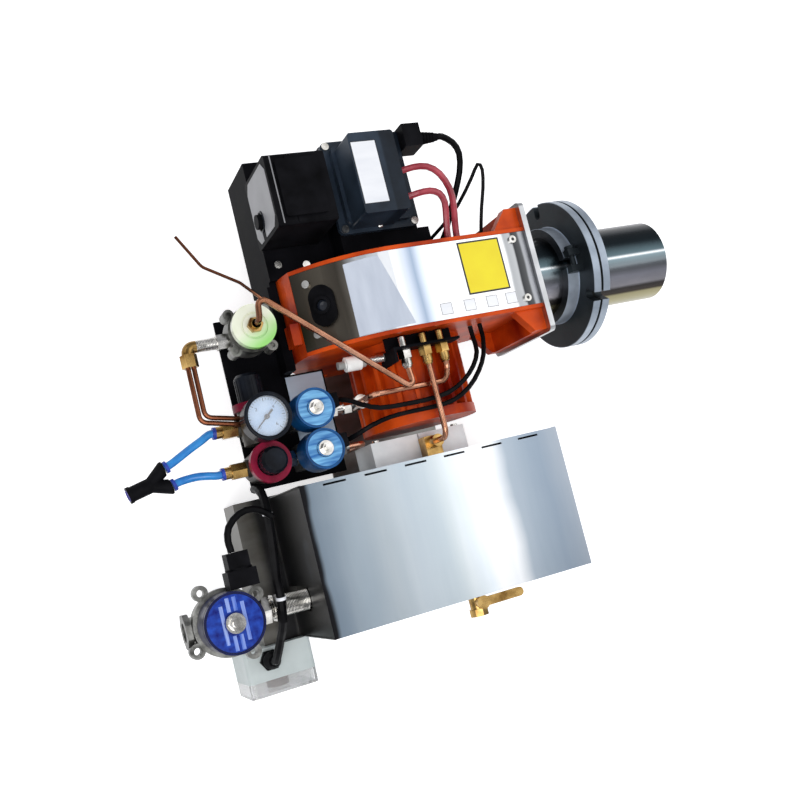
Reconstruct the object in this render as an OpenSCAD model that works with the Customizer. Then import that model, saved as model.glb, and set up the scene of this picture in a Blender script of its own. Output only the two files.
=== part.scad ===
// Waste oil burner, millimetres. X runs along the blast tube towards the boiler, Z is up.
// The origin is on the tube axis, in the plane of the flange face that meets the boiler.

/* [Blast tube and flange] */
// Outside diameter of the blast tube
tube_d = 89; // [80:1:96]
// Wall of the blast tube
tube_wall = 2; // [1.5:0.5:3]
// Reach of the tube past the flange face
tube_reach = 107; // [80:1:160]
// Outside diameter of the mounting flange
flange_d = 165; // [155:1:190]
// Thickness of each of the two flange discs
flange_t = 8.5; // [6:0.5:10]
// Thickness of the gasket between the discs
gasket_t = 3; // [2:0.5:4]
// Width of the clamp hub behind the flange
hub_t = 14; // [10:1:18]
// Pitch circle of the three stud notches
notch_circle = 142; // [136:1:148]
// Width of a stud notch
notch_w = 10; // [8:0.5:12]

/* [Burner housing] */
// Front of the cast housing, at the end plate
housing_front = -80; // [-84:1:-76]
// Rear end of the cast housing
housing_rear = -330; // [-334:1:-326]
// Width of the cast housing across the fan axis
housing_w = 88; // [84:1:92]
// Height of the flat top above the tube axis
housing_top = 62; // [60:1:66]
// Where the flat top starts to curve down to the rear
slope_x = -225; // [-230:1:-220]
// Radius of the curved rear of the top
slope_r = 141; // [138:1:150]
// Thickness of the cast wall
cast_wall = 6; // [5:0.5:7]
// Thickness of the bright rims beside the top cover
rim_wall = 4; // [3:0.5:4.5]
// Thickness of the bent sheet cover
sheet_t = 1.5; // [1:0.5:2]
// Thickness of the end plate
plate_t = 6; // [5:0.5:8]
// Width of the end plate
plate_w = 142; // [130:1:150]
// Height of the end plate
plate_h = 130; // [126:1:136]

/* [Fan and motor] */
// Fan and motor axis, along X
fan_x = -210; // [-213:1:-207]
// Fan and motor axis, height
fan_z = -30; // [-32:1:-28]
// Diameter of the fan wheel
fan_d = 150; // [140:1:156]
// Width of the fan wheel
fan_w = 58; // [50:1:62]
// Number of fan blades
fan_blades = 28; // [20:1:32]
// Diameter of the ribbed motor body at its ribs
motor_d = 124; // [118:1:126]
// Length of the motor body
motor_len = 88; // [84:1:89]
// Number of motor ribs
motor_ribs = 20; // [12:1:24]
// Diameter of the motor shaft
shaft_d = 12; // [10:1:14]
// Diameter of the air inlet eye of the fan housing
eye_d = 86; // [80:1:92]

/* [Air box and electrics] */
// Depth of the black air box from the housing outwards
air_box_depth = 128; // [124:1:134]
// Top of the air box
air_box_top = -10; // [-12:1:-8]
// Bottom of the air box
air_box_bottom = -84; // [-90:1:-80]
// Length of the air box along X
air_box_len = 176; // [172:1:180]
// Height of the control box
control_h = 80; // [70:1:84]
// Length of the control box along X
control_len = 62; // [56:1:62]
// Depth of the control box along Y
control_w = 72; // [64:1:76]
// Length of the transformer base along Y
trafo_w = 100; // [94:1:104]
// Length of the transformer base along X
trafo_len = 90; // [86:1:92]
// Height of the transformer block above its base
trafo_h = 48; // [40:1:54]
// Diameter of the two high tension leads
lead_d = 7; // [6:0.5:8]

/* [Air lines] */
// Height of the air line axes
line_z = -18; // [-20:1:-16]
// Place of the first air line along Y
line_1_y = -97; // [-98:1:-96]
// Place of the second air line along Y
line_2_y = -138; // [-139:1:-137]
// Place of the pressure regulators along X
regulator_x = -390; // [-392:1:-388]
// Diameter of a pressure regulator body
regulator_d = 34; // [32:1:36]
// Diameter of the crimson regulator ring
ring_d = 41; // [39:1:42]
// Diameter of a regulator knob
knob_d = 27; // [24:1:28]
// Outside diameter of the pressure gauge
gauge_d = 45; // [42:1:46]
// Place of the air valves along X
valve_x = -339; // [-340:1:-338]
// Diameter of an air valve coil
coil_d = 40; // [38:0.5:40.5]
// Diameter of the blue air hoses
hose_d = 8; // [6:1:8]

/* [Tank] */
// Left end of the tank jacket
tank_left = -373; // [-376:1:-370]
// Right end of the tank jacket
tank_right = -81; // [-90:1:-70]
// Rear edge of the tank jacket
tank_rear = -168; // [-170:1:-166]
// Front edge of the tank jacket
tank_front = -317; // [-320:1:-314]
// Top of the tank jacket
tank_top = 25; // [22:1:28]
// Air gap between the jacket and the inner tank
jacket_gap = 8; // [6:1:10]
// Diameter of the float
float_d = 40; // [34:1:44]

/* [Base] */
// Height of the floor plane
floor_z = -150; // [-154:1:-148]
// Height of the steel base tray
tray_h = 50; // [46:1:54]
// How far the tray reaches past the jacket on the left
tray_left = 39; // [34:1:40]
// Thickness of the steel plates
steel_t = 3; // [2:0.5:4]

/* [Oil valve and enclosure] */
// Oil valve centre along X
oil_valve_x = -460; // [-462:1:-458]
// Oil valve centre along Y
oil_valve_y = -277; // [-279:1:-275]
// Height of the oil valve flow axis
oil_valve_z = -36; // [-38:1:-34]
// Diameter of the oil valve coil
oil_coil_d = 58; // [54:1:60]
// Pipe bore of the oil valve, half inch thread
oil_port_d = 19; // [18:0.5:20]
// Width of the grey enclosure
box_w = 72; // [66:1:76]
// Height of the grey enclosure
box_h = 66; // [60:1:70]
// Depth of the clear lid
lid_t = 15; // [12:1:18]

/* [Fits] */
// Radial clearance of a running fit
fit = 0.05; // [0.03:0.01:0.09]
// Clearance between faces that slide or lie close
seat = 0.3; // [0.2:0.1:0.4]

/* [Hidden] */
$fn = 64;

half_w = housing_w / 2;
stack_t = 2 * flange_t + gasket_t;
slope_end = asin((slope_x - housing_rear) / slope_r);
rear_z = housing_top - slope_r + slope_r * cos(slope_end);
cover_steps = 10;
cover_drop = 0.5;
scroll_steps = 28;
plate_top = housing_top + 4;
hole_sight = -308;

lance_x = -120;

air_box_x = -342;
air_box_y = half_w + seat;
control_x = air_box_x - 3;
control_y = 76;
control_z = air_box_top;
trafo_x = -268;
trafo_y = 72;
trafo_z = 20;
trafo_base_t = 6;

bracket_y = -60;
bracket_t = 2.5;
fitting_z = 45;
fitting_x = [-240, -217, -198];
tee_x = -281;
curl_top = [-377.5, 16.5, 54];
box_screw_places = [[-300, 56], [-330, 60]];
clamp_hole_d = 9.6;
bracket_foot_z = 36;
bracket_left = -256;
bracket_right = -182;
rod_z = 27;
rod_d = 8;
rod_y = -61;
knob_rod_x = -290;

valve_axis = [-380, -7];
cap_top = 30;
cap_d = 44;

shelf_z = -44;
coil_z = -4;
coil_h = 33;
coil_top = coil_z + coil_h;
stem_d = 13;
plunger_d = 9;
plunger_h = 18;
travel = 3;

oil_coil_z = -16;
oil_coil_h = 36;
oil_stem_d = 16;
oil_plunger_d = 11;

jacket_bottom = floor_z + tray_h;
in_left = tank_left + jacket_gap;
in_right = tank_right - jacket_gap;
in_front = tank_front + jacket_gap;
in_rear = tank_rear - jacket_gap;
in_top = tank_top - 12;
in_bottom = jacket_bottom;
tank_wall = 2;
float_x = -150;
float_y = -242;
float_stem_d = 6;
float_h = 22;
float_z = in_bottom + 22;
float_travel = 50;
drain_x = -175;
drain_z = -78;
box_x = -440;
box_y = -350;
box_z = floor_z + seat;
box_depth = tank_front - seat - box_y;
gland_x = -414;
gland_y = -330;
gland_top = box_z + box_h + 20.2;
hex_x = regulator_x - regulator_d / 2 - 2;
gauge_z = 17;
needle_rest = 221;
gauge_t = 23;
knob_2_z = 13;
regulator_axis_z = line_z + 10;

hose_exit = hex_x - 22;
y_in_1 = [-486, -120, -20];
y_in_2 = [-482, -138, -20];
y_tip = [-522, -138, -20];
hose_1_route = [[hose_exit - seat, line_1_y, line_z], [hose_exit - 6, line_1_y, line_z], [-446, -101.5, -18],
  [-457, -106.5, -19], [-468, -112, -20], [-478, -117, -20], y_in_1];
hose_2_route = [[hose_exit - seat, line_2_y, line_z], [hose_exit - 8, line_2_y, line_z], [-446, -136.6, -18],
  [-456, -135, -19], [-466, -135, -20], [-475, -136, -20], y_in_2];
hv_1_route = [[-201.7, 122, 56], [-197, 122, 56.3], [-186, 123, 60], [-172, 121, 63], [-160, 112, 63], [-152, 96, 61],
  [-150, 80, 57], [-150, 62, 50], [-150, 50, 46.3], [-150, 42, 46]];
hv_2_route = [[-201.7, 94, 56], [-197, 94, 56.3], [-188, 95, 60], [-176, 95, 63], [-166, 91, 63], [-161, 82, 60],
  [-160, 70, 54], [-160, 60, 49.5], [-160, 50, 46.3], [-160, 42, 46]];
plug_cable_route = [[-151.7, 152, 62], [-146, 152, 62], [-134, 145, 60], [-127, 134, 55], [-126, 118, 44],
  [-130, 100, 30], [-134, 84, 16], [-138, 68, 4], [-143, 58, -3], [-146, 49, -6], [-146, 44.5, -6]];
sensor_cable_route = [[-165.6, 58, -20], [-162, 58.4, -19.6], [-155, 63, -11], [-144, 72, 8], [-128, 88, 26], [-116, 108, 46], [-108, 121, 54],
  [-103, 115, 52], [-103, 98, 44], [-105, 80, 34], [-107, 60, 25], [-108, 50, 22], [-108, 44.4, 22]];
valve_cable_1 = [[-310.6, -92, 12], [-307, -92.3, 13], [-300, -97, 24], [-292, -104, 32], [-276, -111, 36], [-250, -112.5, 36.5],
  [-224, -112.5, 36.5], [-200, -110, 37], [-180, -101, 38], [-165, -88, 38], [-155, -74, 34], [-151, -60, 27],
  [-150, -51, 24.3], [-150, -44.4, 24]];
valve_cable_2 = [[-310.6, -133, 12], [-307, -132.8, 13], [-300, -130.5, 25], [-288, -126, 33], [-268, -122, 36], [-244, -121, 36.5],
  [-218, -121, 36.5], [-196, -118.5, 37], [-176, -109, 38], [-160, -94, 38], [-149, -78, 36], [-142, -60, 31],
  [-141, -51, 29.3], [-141, -44.4, 29]];
oil_cable_route = [[-446, -213.6, 4], [-446.2, -209, 4.4], [-447, -202, 6], [-444, -190, 8], [-432, -180, 8], [-418, -178, 7],
  [-406, -184, 6], [-400, -190, 6]];
enclosure_cable_route = [[-400, -158, shelf_z + steel_t + seat], [-400, -159, -30], [-400, -165, -14],
  [-401, -178, -5], [-402, -196, -3], [-403, -214, -5], [-404, -232, -9], [-406, -250, -10], [-406, -268, -10],
  [-407, -290, -18], [-409, -306, -34], [-412, -320, -46], [-413.8, -329, -56],
  [gland_x, gland_y, gland_top + seat]];

// Placing helpers
module along_y(y0, y1) { translate([0, y1, 0]) rotate([90, 0, 0]) linear_extrude(y1 - y0) children(); }
module along_x(x0, x1) { translate([x0, 0, 0]) rotate([90, 0, 90]) linear_extrude(x1 - x0) children(); }
module y_rod(y0, y1, d) { translate([0, y1, 0]) rotate([90, 0, 0]) cylinder(h = y1 - y0, d = d); }
module x_rod(x0, x1, d) { translate([x0, 0, 0]) rotate([0, 90, 0]) cylinder(h = x1 - x0, d = d); }
module z_rod(z0, z1, d) { translate([0, 0, z0]) cylinder(h = z1 - z0, d = d); }
module box(lo, hi) { translate(lo) cube(hi - lo); }
module rounded(w, h, r) {
  union() {
    square([w - 2 * r, h], center = true);
    square([w, h - 2 * r], center = true);
    for (x = [-1, 1], y = [-1, 1]) translate([x * (w / 2 - r), y * (h / 2 - r)]) circle(r, $fn = 24);
  }
}

// Vector helpers for tubes
function unit(v) = v / norm(v);
function turn(a, b) = acos(max(-1, min(1, a * b)));
function frame_of(x, y, c) = let (z = cross(x, y))
  [[x.x, y.x, z.x, c.x], [x.y, y.y, z.y, c.y], [x.z, y.z, z.z, c.z], [0, 0, 0, 1]];

// A bent tube: straight runs joined by elbows of one radius
module pipe(points, d, bend) {
  last = len(points) - 1;
  dirs = [for (i = [0:last - 1]) unit(points[i + 1] - points[i])];
  cut = [for (i = [0:last]) i == 0 || i == last ? 0 : bend * tan(turn(dirs[i - 1], dirs[i]) / 2)];
  union() {
    for (i = [0:last - 1]) {
      from = points[i] + dirs[i] * cut[i];
      size = norm(points[i + 1] - points[i]) - cut[i] - cut[i + 1];
      side = unit(cross(dirs[i], abs(dirs[i].z) > 0.9 ? [1, 0, 0] : [0, 0, 1]));
      multmatrix(frame_of(side, cross(dirs[i], side), from)) cylinder(h = size, d = d);
    }
    for (i = [1:1:last - 1]) {
      inward = unit(dirs[i] - dirs[i - 1] * (dirs[i - 1] * dirs[i]));
      centre = points[i] - dirs[i - 1] * cut[i] + inward * bend;
      multmatrix(frame_of(-inward, dirs[i - 1], centre))
        rotate_extrude(angle = turn(dirs[i - 1], dirs[i])) translate([bend, 0]) circle(d = d, $fn = 32);
    }
  }
}

// A cord: one smooth curve through its route, swept with a round section
function knot_at(p, i) = p[max(0, min(len(p) - 1, i))];
function curve_at(p, i, t) = let (a = knot_at(p, i - 1), b = p[i], c = knot_at(p, i + 1), d = knot_at(p, i + 2))
  0.5 * (2 * b + (c - a) * t + (2 * a - 5 * b + 4 * c - d) * t * t + (3 * b - a - 3 * c + d) * t * t * t);
function curve_of(p, steps) = concat([for (i = [0:len(p) - 2]) for (s = [0:steps - 1]) curve_at(p, i, s / steps)],
  [p[len(p) - 1]]);
module swept(pts, d, sides = 8) {
  n = len(pts);
  tang = [for (i = [0:n - 1]) unit(pts[min(i + 1, n - 1)] - pts[max(i - 1, 0)])];
  side = [for (i = 0, v = unit(cross(tang[0], [0.31, 0.17, 0.94])); i < n;
    i = i + 1, v = i < n ? unit(v - tang[i] * (tang[i] * v)) : v) v];
  rings = [for (i = [0:n - 1]) for (k = [0:sides - 1])
    pts[i] + d / 2 * (cos(360 * k / sides) * side[i] + sin(360 * k / sides) * cross(tang[i], side[i]))];
  polyhedron(points = rings, faces = concat(
    [[for (k = [0:sides - 1]) k]],
    [[for (k = [sides - 1:-1:0]) (n - 1) * sides + k]],
    [for (i = [0:n - 2]) for (k = [0:sides - 1])
      [i * sides + k, (i + 1) * sides + k, (i + 1) * sides + (k + 1) % sides, i * sides + (k + 1) % sides]]));
}
module cord_tube(route, d, steps = 2, sides = 8) { swept(curve_of(route, steps), d, sides); }

// A route of straight runs with its corners rounded to one bend radius
function corner_arc(p, a, b, bend, steps) = let (t = turn(a, b), cut = bend * tan(t / 2), inward = unit(b - a * (a * b)),
  centre = p - a * cut + inward * bend) [for (s = [0:steps]) centre + bend * (sin(t * s / steps) * a - cos(t * s / steps) * inward)];
function bent(p, bend, steps = 4) = concat([p[0]],
  [for (i = [1:len(p) - 2]) each corner_arc(p[i], unit(p[i] - p[i - 1]), unit(p[i + 1] - p[i]), bend, steps)], [p[len(p) - 1]]);

// Side outline of the housing: flat top, curved rear and a scroll that closes in under the fan
function top_line(off, from) = concat([[from, housing_top + off]],
  [for (i = [0:cover_steps]) let (a = slope_end * i / cover_steps)
    [slope_x - (slope_r + off) * sin(a), housing_top - slope_r + (slope_r + off) * cos(a)]]);
scroll_start = atan2(rear_z - fan_z, housing_rear - fan_x);
scroll_r0 = norm([housing_rear - fan_x, rear_z - fan_z]);
scroll_r1 = fan_d / 2 + 18;
scroll_end = 318;
function scroll_line(inset) = [for (i = [0:scroll_steps]) let (a = scroll_start + (scroll_end - scroll_start) * i / scroll_steps,
    r = scroll_r0 + (scroll_r1 - scroll_r0) * i / scroll_steps - inset)
  [fan_x + r * cos(a), fan_z + r * sin(a)]];
// Where the cover's seat stops at the rear, one clearance past the end of the sheet
function rear_stop(off) = [slope_x, housing_top - slope_r] + (slope_r + off) * [-sin(slope_end), cos(slope_end)]
  - seat * [cos(slope_end), sin(slope_end)];
module housing_outline() {
  polygon(concat(top_line(0, housing_front), scroll_line(0), [[housing_front, -tube_d / 2 - 12]]));
}
module cavity_outline() {
  polygon(concat([[housing_front - cast_wall, housing_top + 9]], [[slope_x, housing_top + 9]], [[housing_rear + 22, housing_top]],
    scroll_line(cast_wall), [[housing_front - cast_wall, -tube_d / 2 - 4]]));
}

module burner_housing() color("orangered") difference() {
  union() {
    along_y(-half_w, half_w) housing_outline();
    for (s = [-1, 1]) along_gusset(s);
    for (x = [fan_x - 42, fan_x + 42]) box([x - 12, -half_w, floor_z + steel_t], [x + 12, half_w, fan_z - fan_d / 2 - 2]);
    box([housing_rear - 10, -30, -8], [housing_rear + 4, -8, 12]);
  }
  along_y(cast_wall - half_w, half_w - cast_wall) cavity_outline();
  along_y(rim_wall - half_w, half_w - rim_wall) polygon(concat(top_line(-sheet_t - cover_drop, housing_front + 1),
    [rear_stop(-sheet_t - cover_drop), rear_stop(rim_wall + cast_wall), [housing_rear - 30, housing_top + 20],
    [housing_front + 1, housing_top + 20]]));
  x_rod(housing_front - cast_wall - 1, housing_front + 1, tube_d + 2 * seat);
  translate([fan_x, 0, fan_z]) y_rod(0, half_w + 1, eye_d);
  translate([fan_x, 0, fan_z]) y_rod(-half_w - 1, 0, 40);
  for (x = [-150, -160]) translate([x, 0, 46]) y_rod(half_w - cast_wall - 1, half_w + 1, lead_d + 2 * seat);
}
// Cast ears that carry the end plate on each side
module along_gusset(s) {
  depth = plate_w / 2 - 4;
  for (z = [-plate_h / 2 + 8, plate_top - 20])
    translate([0, 0, z]) linear_extrude(12) polygon([[housing_front, s * (half_w - 2)], [housing_front, s * depth],
      [housing_front - 14, s * depth], [housing_front - 34, s * (half_w - 2)]]);
  along_x(housing_front - 10, housing_front) polygon([[s * (half_w - 1), -plate_h / 2 + 8], [s * depth, -plate_h / 2 + 8],
    [s * depth, plate_top - 8], [s * (half_w - 1), plate_top - 8]]);
}

module end_plate() color("silver") difference() {
  along_x(housing_front, housing_front + plate_t) translate([0, plate_top - plate_h / 2]) rounded(plate_w, plate_h, 6);
  x_rod(housing_front - 1, housing_front + plate_t + 1, tube_d + 2 * fit);
  for (y = [-1, 1], z = [-38, 38]) translate([0, y * (plate_w / 2 - 9), z]) x_rod(housing_front - 1, housing_front + plate_t + 1, 7);
}

module top_cover() color("lightsteelblue") difference() {
  along_y(rim_wall + seat - half_w, half_w - rim_wall - seat)
    polygon(concat(top_line(-cover_drop, housing_front - seat), [for (i = [cover_steps:-1:0]) let (a = slope_end * i / cover_steps)
      [slope_x - (slope_r - cover_drop - sheet_t) * sin(a), housing_top - slope_r + (slope_r - cover_drop - sheet_t) * cos(a)]],
      [[housing_front - seat, housing_top - cover_drop - sheet_t]]));
  on_slope(hole_sight) z_rod(-12, 12, 18);
  for (p = cover_screw_places) on_slope(p[0]) translate([0, p[1], 0]) z_rod(-12, 12, 4.4);
}
cover_screw_places = [[-318, 26], [-318, -26], [-96, 32], [-96, -32]];
// Puts its children on the outside of the cover at a place along X, with Z along its normal
module on_slope(x) {
  a = x > slope_x ? 0 : asin((slope_x - x) / slope_r);
  translate([slope_x, 0, housing_top - slope_r]) rotate([0, -a, 0])
    translate([x > slope_x ? x - slope_x : 0, 0, slope_r - cover_drop]) children();
}

module sight_bezel() color("black") on_slope(hole_sight) difference() {
  union() {
    linear_extrude(5) rounded(26, 42, 12.9);
    z_rod(-sheet_t - 4, 1, 17);
    translate([0, 0, 4]) z_rod(0, 4, 18);
  }
  z_rod(-12, 12, 12);
}

module fan_wheel() color("silver") translate([fan_x, 0, fan_z]) difference() {
  union() {
    y_rod(-fan_w / 2, -fan_w / 2 + 3, fan_d);
    difference() {
      y_rod(fan_w / 2 - 3, fan_w / 2, fan_d);
      y_rod(fan_w / 2 - 4, fan_w / 2 + 1, fan_d - 36);
    }
    y_rod(-fan_w / 2, 6, 30);
    for (i = [0:fan_blades - 1]) rotate([0, i * 360 / fan_blades, 0]) translate([fan_d / 2 - 9, 0, 0]) rotate([0, 32, 0])
      translate([-8, -fan_w / 2 + 1, -0.6]) cube([16, fan_w - 2, 1.2]);
  }
  y_rod(-fan_w, fan_w, shaft_d);
}

module motor_shaft() color("gainsboro") translate([fan_x, 0, fan_z]) union() {
  y_rod(-half_w - motor_len + 8, 4, shaft_d);
  y_rod(-half_w - motor_len + 22, -half_w - 16, 58);
}

module motor_body() color("orangered") translate([fan_x, 0, fan_z]) difference() {
  union() {
    y_rod(-half_w - motor_len, -half_w - seat, motor_d - 20);
    y_rod(-half_w - 9, -half_w - seat, motor_d + 4);
    y_rod(-half_w - motor_len, -half_w - motor_len + 10, motor_d);
    for (i = [0:motor_ribs - 1]) rotate([0, i * 360 / motor_ribs, 0]) translate([motor_d / 2 - 13, -half_w - motor_len + 2, -2.2])
      cube([12.4, motor_len - 4, 4.4]);
  }
  y_rod(-half_w - motor_len + 14, -half_w - 10, 64);
  y_rod(-half_w - motor_len + 6, 0, shaft_d + 2 * fit);
}

module junction_box() color("gainsboro") difference() {
  box([-278, tank_rear + seat, -62], [-170, tank_rear + 27, -10]);
  box([-225, tank_rear + 20, -64], [-223.5, tank_rear + 28, -8]);
  for (x = [-270, -178]) translate([x, 0, -16]) y_rod(tank_rear + 23, tank_rear + 28, 4);
}

module blast_tube() color("lightgray") difference() {
  x_rod(housing_front - cast_wall, tube_reach, tube_d);
  x_rod(housing_front - cast_wall - 1, tube_reach + 1, tube_d - 2 * tube_wall);
}

module diffuser_disc() color("dimgray") difference() {
  x_rod(tube_reach - 38, tube_reach - 34, tube_d - 2 * tube_wall - 2 * seat);
  x_rod(tube_reach - 40, tube_reach - 30, 24);
  for (i = [0:7]) rotate([i * 45 + 22.5, 0, 0]) translate([0, 27, 0]) x_rod(tube_reach - 40, tube_reach - 30, 8);
  for (i = [0:11]) rotate([i * 30, 0, 0]) translate([tube_reach - 40, 34, -1.2]) cube([10, 5, 2.4]);
}

module nozzle_lance() color("goldenrod") difference() {
  union() {
    x_rod(lance_x, tube_reach - 62, 12);
    x_rod(tube_reach - 62, tube_reach - 48, 22);
    x_rod(tube_reach - 48, tube_reach - 40, 16);
    x_rod(tube_reach - 56, tube_reach - 34.6, 9);
    for (i = [0:2]) rotate([i * 120 + 90, 0, 0]) translate([tube_reach - 61, 5, -2])
      cube([8, tube_d / 2 - tube_wall - 5 - seat, 4]);
    x_rod(lance_x - 8, lance_x + 4, 18);
    translate([lance_x - 2, 0, 0]) y_rod(cast_wall - half_w, 0, 8);
    box([20, -20, -2], [26, 20, 20]);
  }
  for (s = [-1, 1]) translate([0, s * 14, 14]) x_rod(19, 27, clamp_hole_d);
}

module electrodes() color("ivory") for (s = [-1, 1]) translate([0, s * 14, 14]) union() {
  x_rod(-60, tube_reach - 50, 9);
  x_rod(tube_reach - 60, tube_reach - 40, 3);
  x_rod(-76, -60, 5);
}

module notched_disc(x0, x1) difference() {
  x_rod(x0, x1, flange_d);
  x_rod(x0 - 1, x1 + 1, tube_d + 2 * fit);
  for (a = [0, 120, 240]) rotate([a + 3, 0, 0]) {
    translate([0, notch_circle / 2, 0]) x_rod(x0 - 1, x1 + 1, notch_w);
    box([x0 - 1, notch_circle / 2, -notch_w / 2], [x1 + 1, flange_d, notch_w / 2]);
  }
}
module sliding_flange() color("dimgray") {
  flange_clamp();
  translate([-stack_t - hub_t / 2, 13, tube_d / 2 + 14]) rotate([-90, 0, 0]) screw(5.8, 25.5);
}
module flange_clamp() difference() {
  union() {
    notched_disc(-stack_t, -stack_t + flange_t);
    x_rod(-stack_t - hub_t, -stack_t + 1, tube_d + 20);
    for (s = [-1, 1]) translate([-stack_t - hub_t, s * 9 - 3.5, tube_d / 2 + 6]) cube([hub_t, 7, 14]);
  }
  x_rod(-stack_t - hub_t - 1, 1, tube_d + 2 * fit);
  box([-stack_t - hub_t - 1, -5.5, tube_d / 2 - 2], [-stack_t - 0.5, 5.5, tube_d / 2 + 24]);
  translate([-stack_t - hub_t / 2, 0, tube_d / 2 + 14]) y_rod(-20, 20, 6);
}
module flange_gasket() color("darkslategray") difference() {
  x_rod(-stack_t + flange_t, -flange_t, flange_d - 5);
  x_rod(-stack_t, 0, tube_d + 2 * fit + 1);
  for (a = [0, 120, 240]) rotate([a + 3, 0, 0]) {
    translate([0, notch_circle / 2, 0]) x_rod(-stack_t, 0, notch_w + 1);
    box([-stack_t, notch_circle / 2, -notch_w / 2 - 0.5], [0, flange_d, notch_w / 2 + 0.5]);
  }
}
module counter_flange() color("dimgray") notched_disc(-flange_t, 0);

// A pan head screw, head up, with its shank below
module screw(d, shank) union() {
  z_rod(0, d * 0.6, d * 2);
  z_rod(-shank, 0, d);
}
module screws() color("silver") {
  for (p = cover_screw_places) on_slope(p[0]) translate([0, p[1], 0.05]) screw(4, sheet_t);
  for (y = [-1, 1], z = [-38, 38]) translate([housing_front + plate_t, y * (plate_w / 2 - 9), z]) rotate([0, 90, 0]) screw(6, plate_t);
  for (x = [trafo_x + 5.5, trafo_x + trafo_len - 5.5], y = [trafo_y + 5, trafo_y + trafo_w - 5])
    translate([x, y, trafo_z + trafo_base_t]) screw(4, trafo_base_t);
  for (p = box_screw_places) translate([p[0], p[1], air_box_top]) screw(4, steel_t);
  for (x = [-270, -178]) translate([x, tank_rear + 27, -16]) rotate([-90, 0, 0]) screw(3.8, 3.9);
}

module air_box() color("black") {
  union() {
    air_box_shell();
    damper_ears();
  }
}
module air_box_shell() difference() {
  union() {
    box([air_box_x, air_box_y, air_box_bottom], [air_box_x + air_box_len, air_box_y + air_box_depth, air_box_top]);
    box([trafo_x + 1, trafo_y - 2, air_box_top - 1], [trafo_x + trafo_len - 1, trafo_y + trafo_w - 2, trafo_z]);
    box([trafo_x + 1, air_box_y, air_box_top - 1], [air_box_x + air_box_len, trafo_y - 1, trafo_z]);
    box([air_box_x, -half_w - 6, air_box_bottom + 20], [air_box_x + 7, air_box_y + 1, -16]);
  }
  box([trafo_x + 1 + steel_t, air_box_y + steel_t, air_box_top - steel_t - 1],
    [air_box_x + air_box_len - steel_t, trafo_y - 2 - steel_t, trafo_z - steel_t]);
  for (p = box_screw_places) translate([p[0], p[1], 0]) z_rod(air_box_top - steel_t - 1, air_box_top + 1, 4.4);
  box([air_box_x + steel_t, air_box_y + steel_t, air_box_bottom + steel_t],
    [air_box_x + air_box_len - steel_t, air_box_y + air_box_depth - steel_t, air_box_top - steel_t]);
  translate([fan_x, 0, fan_z]) y_rod(air_box_y - 1, air_box_y + steel_t + 1, eye_d);
  box([-322, air_box_y + air_box_depth - steel_t - 1, -66], [-226, air_box_y + air_box_depth + 1, -28]);
}
module damper_ears() difference() {
  for (x = [-329, -225]) box([x, air_box_y + air_box_depth - 14, damper_z - 5], [x + steel_t, air_box_y + air_box_depth - 1, damper_z + 5]);
  translate([0, air_box_y + air_box_depth - steel_t - 5, damper_z]) x_rod(-340, -200, 4 + 2 * fit);
}

damper_z = -27;
module air_damper() color("silver") translate([0, air_box_y + air_box_depth - steel_t - 5, damper_z]) union() {
  x_rod(-332, -219, 4);
  box([-320, -1, -38], [-228, 1, 0]);
}

module control_box() color("black") difference() {
  union() {
    translate([control_x, 0, 0]) translate([0, control_y + control_w / 2, control_z + control_h / 2])
      along_x(0, control_len) rounded(control_w, control_h, 4);
    translate([control_x + control_len / 2, control_y + control_w / 2, control_z + control_h - 1]) linear_extrude(5)
      rounded(control_len - 18, control_w - 14, 3);
  }
  translate([control_x + 20, control_y - 1, control_z + control_h - 1.2]) cube([1.2, control_w + 2, 2]);
  translate([0, control_y + 22, control_z + 30]) x_rod(control_x - 1, control_x + 10, 15 + 2 * fit);
}
module reset_button() color("black") translate([0, control_y + 22, control_z + 30]) union() {
  x_rod(control_x - 6, control_x + 6, 15);
}

module transformer() color("darkslategray") translate([trafo_x, trafo_y, trafo_z]) difference() {
  union() {
    translate([trafo_len / 2, trafo_w / 2, 0]) linear_extrude(trafo_base_t) rounded(trafo_len, trafo_w, 7);
    translate([trafo_len / 2, trafo_w / 2, trafo_base_t - 1]) linear_extrude(9) rounded(trafo_len - 16, trafo_w - 14, 7);
    translate([37, trafo_w / 2 - 4, trafo_base_t - 1]) linear_extrude(trafo_h + 1) rounded(50, 84, 3);
    translate([58, trafo_w - 40, trafo_base_t]) cube([14, 30, trafo_h - 12]);
    for (y = [22, 50]) translate([0, y, 36]) x_rod(60, 66, 16);
  }
  for (x = [5.5, trafo_len - 5.5], y = [5, trafo_w - 5]) translate([x, y, -1]) cylinder(h = trafo_base_t + 2, d = 4 + 2 * fit);
}

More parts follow.
